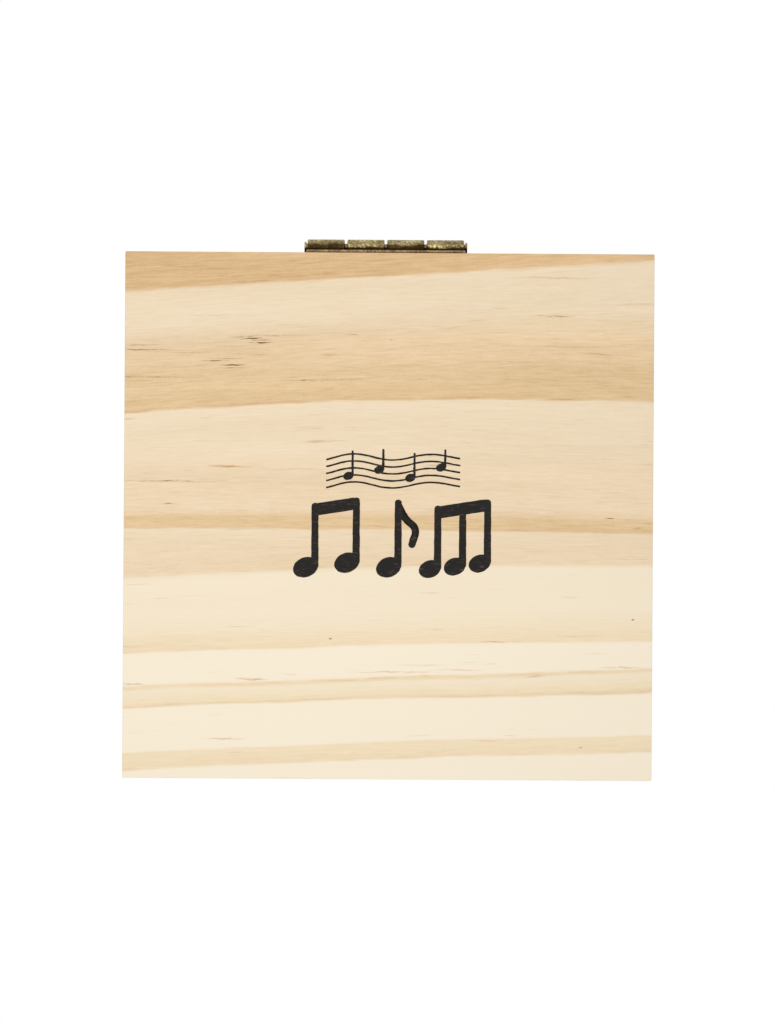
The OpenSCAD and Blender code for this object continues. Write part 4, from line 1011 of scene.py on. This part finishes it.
# %% The two rows, in millimetres from the lid's back left corner
PAIR, PAIR_TOP, PAIR_HEAD, PAIR_SEED = [(34.4, 59.5), (42.2, 58.6)], 48.0, 4.9, 10
SINGLE, SINGLE_TOP, SINGLE_SEED = (50.1, 59.4), 47.3, 30
TRIO, TRIO_TOP, TRIO_HEAD, TRIO_SEED = [(57.9, 59.7), (62.6, 59.2), (67.3, 58.6)], 48.4, 4.3, 50
STAVE_LINES, STAVE_TOP, STAVE_STEP, STAVE_PEN, STAVE_SEED = 5, 38.6, 1.32, 0.32, 70
STAVE_WAVE = [(38.2, 0.55), (43.1, -0.55), (50.7, 0.55), (57.9, -0.55), (63.5, 0.2)]
# place across, foot and top of each small note
SMALL_NOTES = [(42.4, 42.2, 37.6), (48.2, 41.0, 37.3), (54.1, 42.5, 38.0), (59.9, 40.5, 37.3)]
SMALL_HEAD, SMALL_STEM, SMALL_SEED = 2.0, 0.45, 90

bold = beamed_notes(PAIR, PAIR_TOP, PAIR_HEAD, PAIR_SEED)
bold += flagged_note(*SINGLE, SINGLE_TOP, PAIR_HEAD, SINGLE_SEED)
bold += beamed_notes(TRIO, TRIO_TOP, TRIO_HEAD, TRIO_SEED)

light = []
for line in range(STAVE_LINES):
    level = STAVE_TOP + STAVE_STEP * line
    light.append(sweep([(x, level + y) for x, y in STAVE_WAVE], STAVE_PEN, STAVE_SEED + line))
for right, foot, top in SMALL_NOTES:
    light += note(right, foot, top, SMALL_HEAD, SMALL_STEM, SMALL_SEED + len(light))[1]
print("strokes:", len(bold), "bold and", len(light), "light")

# %% [markdown]
# Ink has no seams where strokes cross. One boolean takes all the strokes of a row as a collection
# and unites them, which is quicker than joining them two by two and leaves one clean skin.

# %% One print out of many strokes
def unite(objs, name):
    """Joins overlapping strokes into one clean solid."""
    first, rest = objs[0], objs[1:]
    others = bpy.data.collections.new(name + " strokes")
    for obj in rest:
        others.objects.link(obj)
    union = first.modifiers.new("union", "BOOLEAN")
    union.operation = "UNION"
    union.operand_type = "COLLECTION"
    union.collection = others
    union.solver = "EXACT"
    union.use_self = True
    finish_modifiers(first)
    for obj in rest:
        bpy.data.objects.remove(obj)
    bpy.data.collections.remove(others)
    first.name = name
    return first


for strokes, name in ((bold, "lid_print_bold"), (light, "lid_print_light")):
    row = stand_for(unite(strokes, name), "lid", None)
    dress(row, ink)
    print(name, len(row.data.polygons), "faces")

# %% [markdown]
# ## The lid board
# The lid is a single board, so it's one box with eased edges. Its top lies a hair below the CAD
# lid's, and the ink fills that hair, so that the whole keeps its height.

# %% Lid board
LID_EASE = 0.2 * MM

lid_board = board("lid_board", lid_low, lid_high - Vector((0, 0, INK_T)))
ease_edges(lid_board, LID_EASE)
dress(lid_board, pine_lid)
stand_for(lid_board, "lid", "pine_lid", "lid")
print("lid board", len(lid_board.data.polygons), "faces")

# %% [markdown]
# ## The felt in the tray
# Felt is a cloth: about a millimetre thick, cut with scissors and laid in the tray. A block would
# look like card, so this piece starts as a grid, gets its thickness from a modifier, and its
# surface is shaken and smoothed until it lies as loosely as cloth does.

# %% Felt sheet
FELT_PLAY = 0.12 * MM
FELT_STEP = 1.2 * MM
FELT_SHAKE, FELT_SEED = 0.35 * MM, 4
FELT_SMOOTHING, FELT_PASSES = 0.5, 3
FELT_SINK = 0.3 * FELT_PLAY
FELT_EDGE, FELT_SHARP = 0.3 * MM, 60

felt_low, felt_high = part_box("tray_felt")
felt_size = felt_high - felt_low
felt_w, felt_l, felt_t = (side - 2 * FELT_PLAY for side in felt_size)
felt_mid = (felt_low + felt_high) / 2
clear_selection()
bpy.ops.mesh.primitive_grid_add(
    x_subdivisions=int(felt_w / FELT_STEP), y_subdivisions=int(felt_l / FELT_STEP),
    size=1, location=(felt_mid.x, felt_mid.y, felt_high.z - FELT_PLAY))
felt_sheet = bpy.context.object
felt_sheet.name = "tray_felt_sheet"
felt_sheet.scale = (felt_w, felt_l, 1)
settle(felt_sheet)
thick = felt_sheet.modifiers.new("thickness", "SOLIDIFY")
thick.thickness = felt_t
thick.offset = -1
finish_modifiers(felt_sheet)


def on_top_inside(vert):
    """Whether a vertex lies on the felt's upper face and away from its cut edge."""
    from_edge = min(vert.co.x - felt_low.x, felt_high.x - vert.co.x,
                    vert.co.y - felt_low.y, felt_high.y - vert.co.y)
    return vert.co.z > felt_high.z - 1.5 * FELT_PLAY and from_edge > FELT_STEP


choose(felt_sheet, "VERT", on_top_inside)
bpy.ops.transform.vertex_random(offset=FELT_SHAKE, seed=FELT_SEED)
bpy.ops.mesh.vertices_smooth(factor=FELT_SMOOTHING, repeat=FELT_PASSES)
bpy.ops.transform.translate(value=(0, 0, -FELT_SINK))
done()
ease_edges(felt_sheet, FELT_EDGE, FELT_SHARP)
dress(felt_sheet, felt)
stand_for(felt_sheet, "case", "felt", "tray_felt")
print("felt", [round(side / MM, 2) for side in (felt_w, felt_l, felt_t)], "mm")

# %% [markdown]
# ## The rubber feet
# A stick-on foot is a moulded disc: its upper rim is sharp where it meets the wood, its lower
# rim is round, and a shallow dimple in the middle helps it to grip. One foot is shaped, then copied.

# %% Feet
FOOT_D = 7.5 * MM
FOOT_SIDES = 64
FOOT_ROUND, FOOT_ROUND_STEPS = 0.6 * MM, 4
DIMPLE_EDGE, DIMPLE = 1.3 * MM, 0.3 * MM
FACING_DOWN = -0.9
FOOT_SMOOTH_DEG = 35

feet_low, feet_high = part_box("feet")
foot_h = feet_high.z - feet_low.z
clear_selection()
bpy.ops.mesh.primitive_cylinder_add(
    vertices=FOOT_SIDES, radius=FOOT_D / 2, depth=foot_h, end_fill_type="NGON",
    location=(feet_low.x + FOOT_D / 2, feet_low.y + FOOT_D / 2, feet_low.z + foot_h / 2))
foot = settle(bpy.context.object)


def underside(face):
    return face.normal.z < FACING_DOWN and face.area > FOOT_D ** 2 / 4


choose(foot, "FACE", underside)
bpy.ops.mesh.bevel(offset=FOOT_ROUND, segments=FOOT_ROUND_STEPS, affect="EDGES")
done()
choose(foot, "FACE", underside)
bpy.ops.mesh.inset(thickness=DIMPLE_EDGE)
bpy.ops.mesh.inset(thickness=DIMPLE, depth=0)
bpy.ops.transform.translate(value=(0, 0, DIMPLE))
done()
copies = [foot]
for go_x, go_y in [(1, 0), (0, 1), (1, 1)]:
    pick(foot)
    bpy.ops.object.duplicate()
    copy = bpy.context.object
    copy.location.x = go_x * (feet_high.x - feet_low.x - FOOT_D)
    copy.location.y = go_y * (feet_high.y - feet_low.y - FOOT_D)
    copies.append(settle(copy))
pick(foot)
for copy in copies:
    copy.select_set(True)
bpy.ops.object.join()
foot.name = "rubber_feet"
bpy.ops.object.shade_smooth_by_angle(angle=math.radians(FOOT_SMOOTH_DEG))
dress(foot, rubber)
stand_for(foot, "case", "pad", "feet")
print("feet", len(foot.data.polygons), "faces")

# %% [markdown]
# ## Light and floor
# A product picture of pale wood on white wants soft light from all sides, and no dark reflections.
# The world gives an even white, and one broad lamp overhead gives the surfaces a little shape.

# %% World and lamp
WORLD_STRENGTH = 0.62
LAMP_SIZE, LAMP_WATTS = (1.0, 0.8), 6.6
LAMP_PLACE = (-0.22, 0.12, 1.2)

scene = bpy.context.scene
scene.view_settings.view_transform = "Standard"
world = bpy.data.worlds.new("soft white")
scene.world = world
world.use_nodes = True
background = world.node_tree.nodes["Background"].inputs
background["Color"].default_value = (1, 1, 1, 1)
background["Strength"].default_value = WORLD_STRENGTH

lamp_data = bpy.data.lights.new("overhead", "AREA")
lamp_data.shape = "RECTANGLE"
lamp_data.size, lamp_data.size_y = LAMP_SIZE
lamp_data.energy = LAMP_WATTS
lamp = bpy.data.objects.new("overhead", lamp_data)
scene.collection.objects.link(lamp)
lamp.location = LAMP_PLACE
lamp.rotation_euler = (lid_mid - lamp.location).to_track_quat("-Z", "Y").to_euler()
print("lamp hangs", round(lamp.location.z - lid_high.z, 2), "m above the lid")

# %% [markdown]
# The floor is white to the camera, and to metal and glass that mirror it. To the light it is an
# ordinary pale surface, so that the box still stands on it with a faint shadow. It lies a hair
# below the feet, as two faces at one height would flicker.

# %% Floor
FLOOR_SIZE = 4
FLOOR_DROP = 0.1 * MM
PAPER = (0.9, 0.9, 0.9)

clear_selection()
bpy.ops.mesh.primitive_plane_add(size=FLOOR_SIZE, location=(0, 0, -FLOOR_DROP))
floor = bpy.context.object
floor.name = "floor_sheet"
settle(floor)
white_floor = bpy.data.materials.new("white floor")
white_floor.use_nodes = True
white_floor.node_tree.nodes.clear()
t = Tree(white_floor.node_tree)
paper = t.node("ShaderNodeBsdfDiffuse", Color=PAPER)
glow = t.node("ShaderNodeEmission", Color=(1, 1, 1))
path = t.node("ShaderNodeLightPath").outputs
seen = t.add(path["Is Camera Ray"], path["Is Glossy Ray"], clamp=True)
seen = t.add(seen, path["Is Transmission Ray"], clamp=True)
either = t.node("ShaderNodeMixShader", Fac=seen)
t.set(either.inputs[1], paper.outputs[0])
t.set(either.inputs[2], glow.outputs[0])
t.node("ShaderNodeOutputMaterial", Surface=either.outputs[0])
dress(floor, white_floor)
print("floor", FLOOR_SIZE, "m wide")

# %% [markdown]
# ## Checking the size
# Dressing a model must not change its size. So the last cell writes down the box of the CAD parts
# and the box of the dressed ones side by side, and then hands the scene over.

# %% Finish
def plain(corners):
    return [[float(v) for v in corner] for corner in corners]
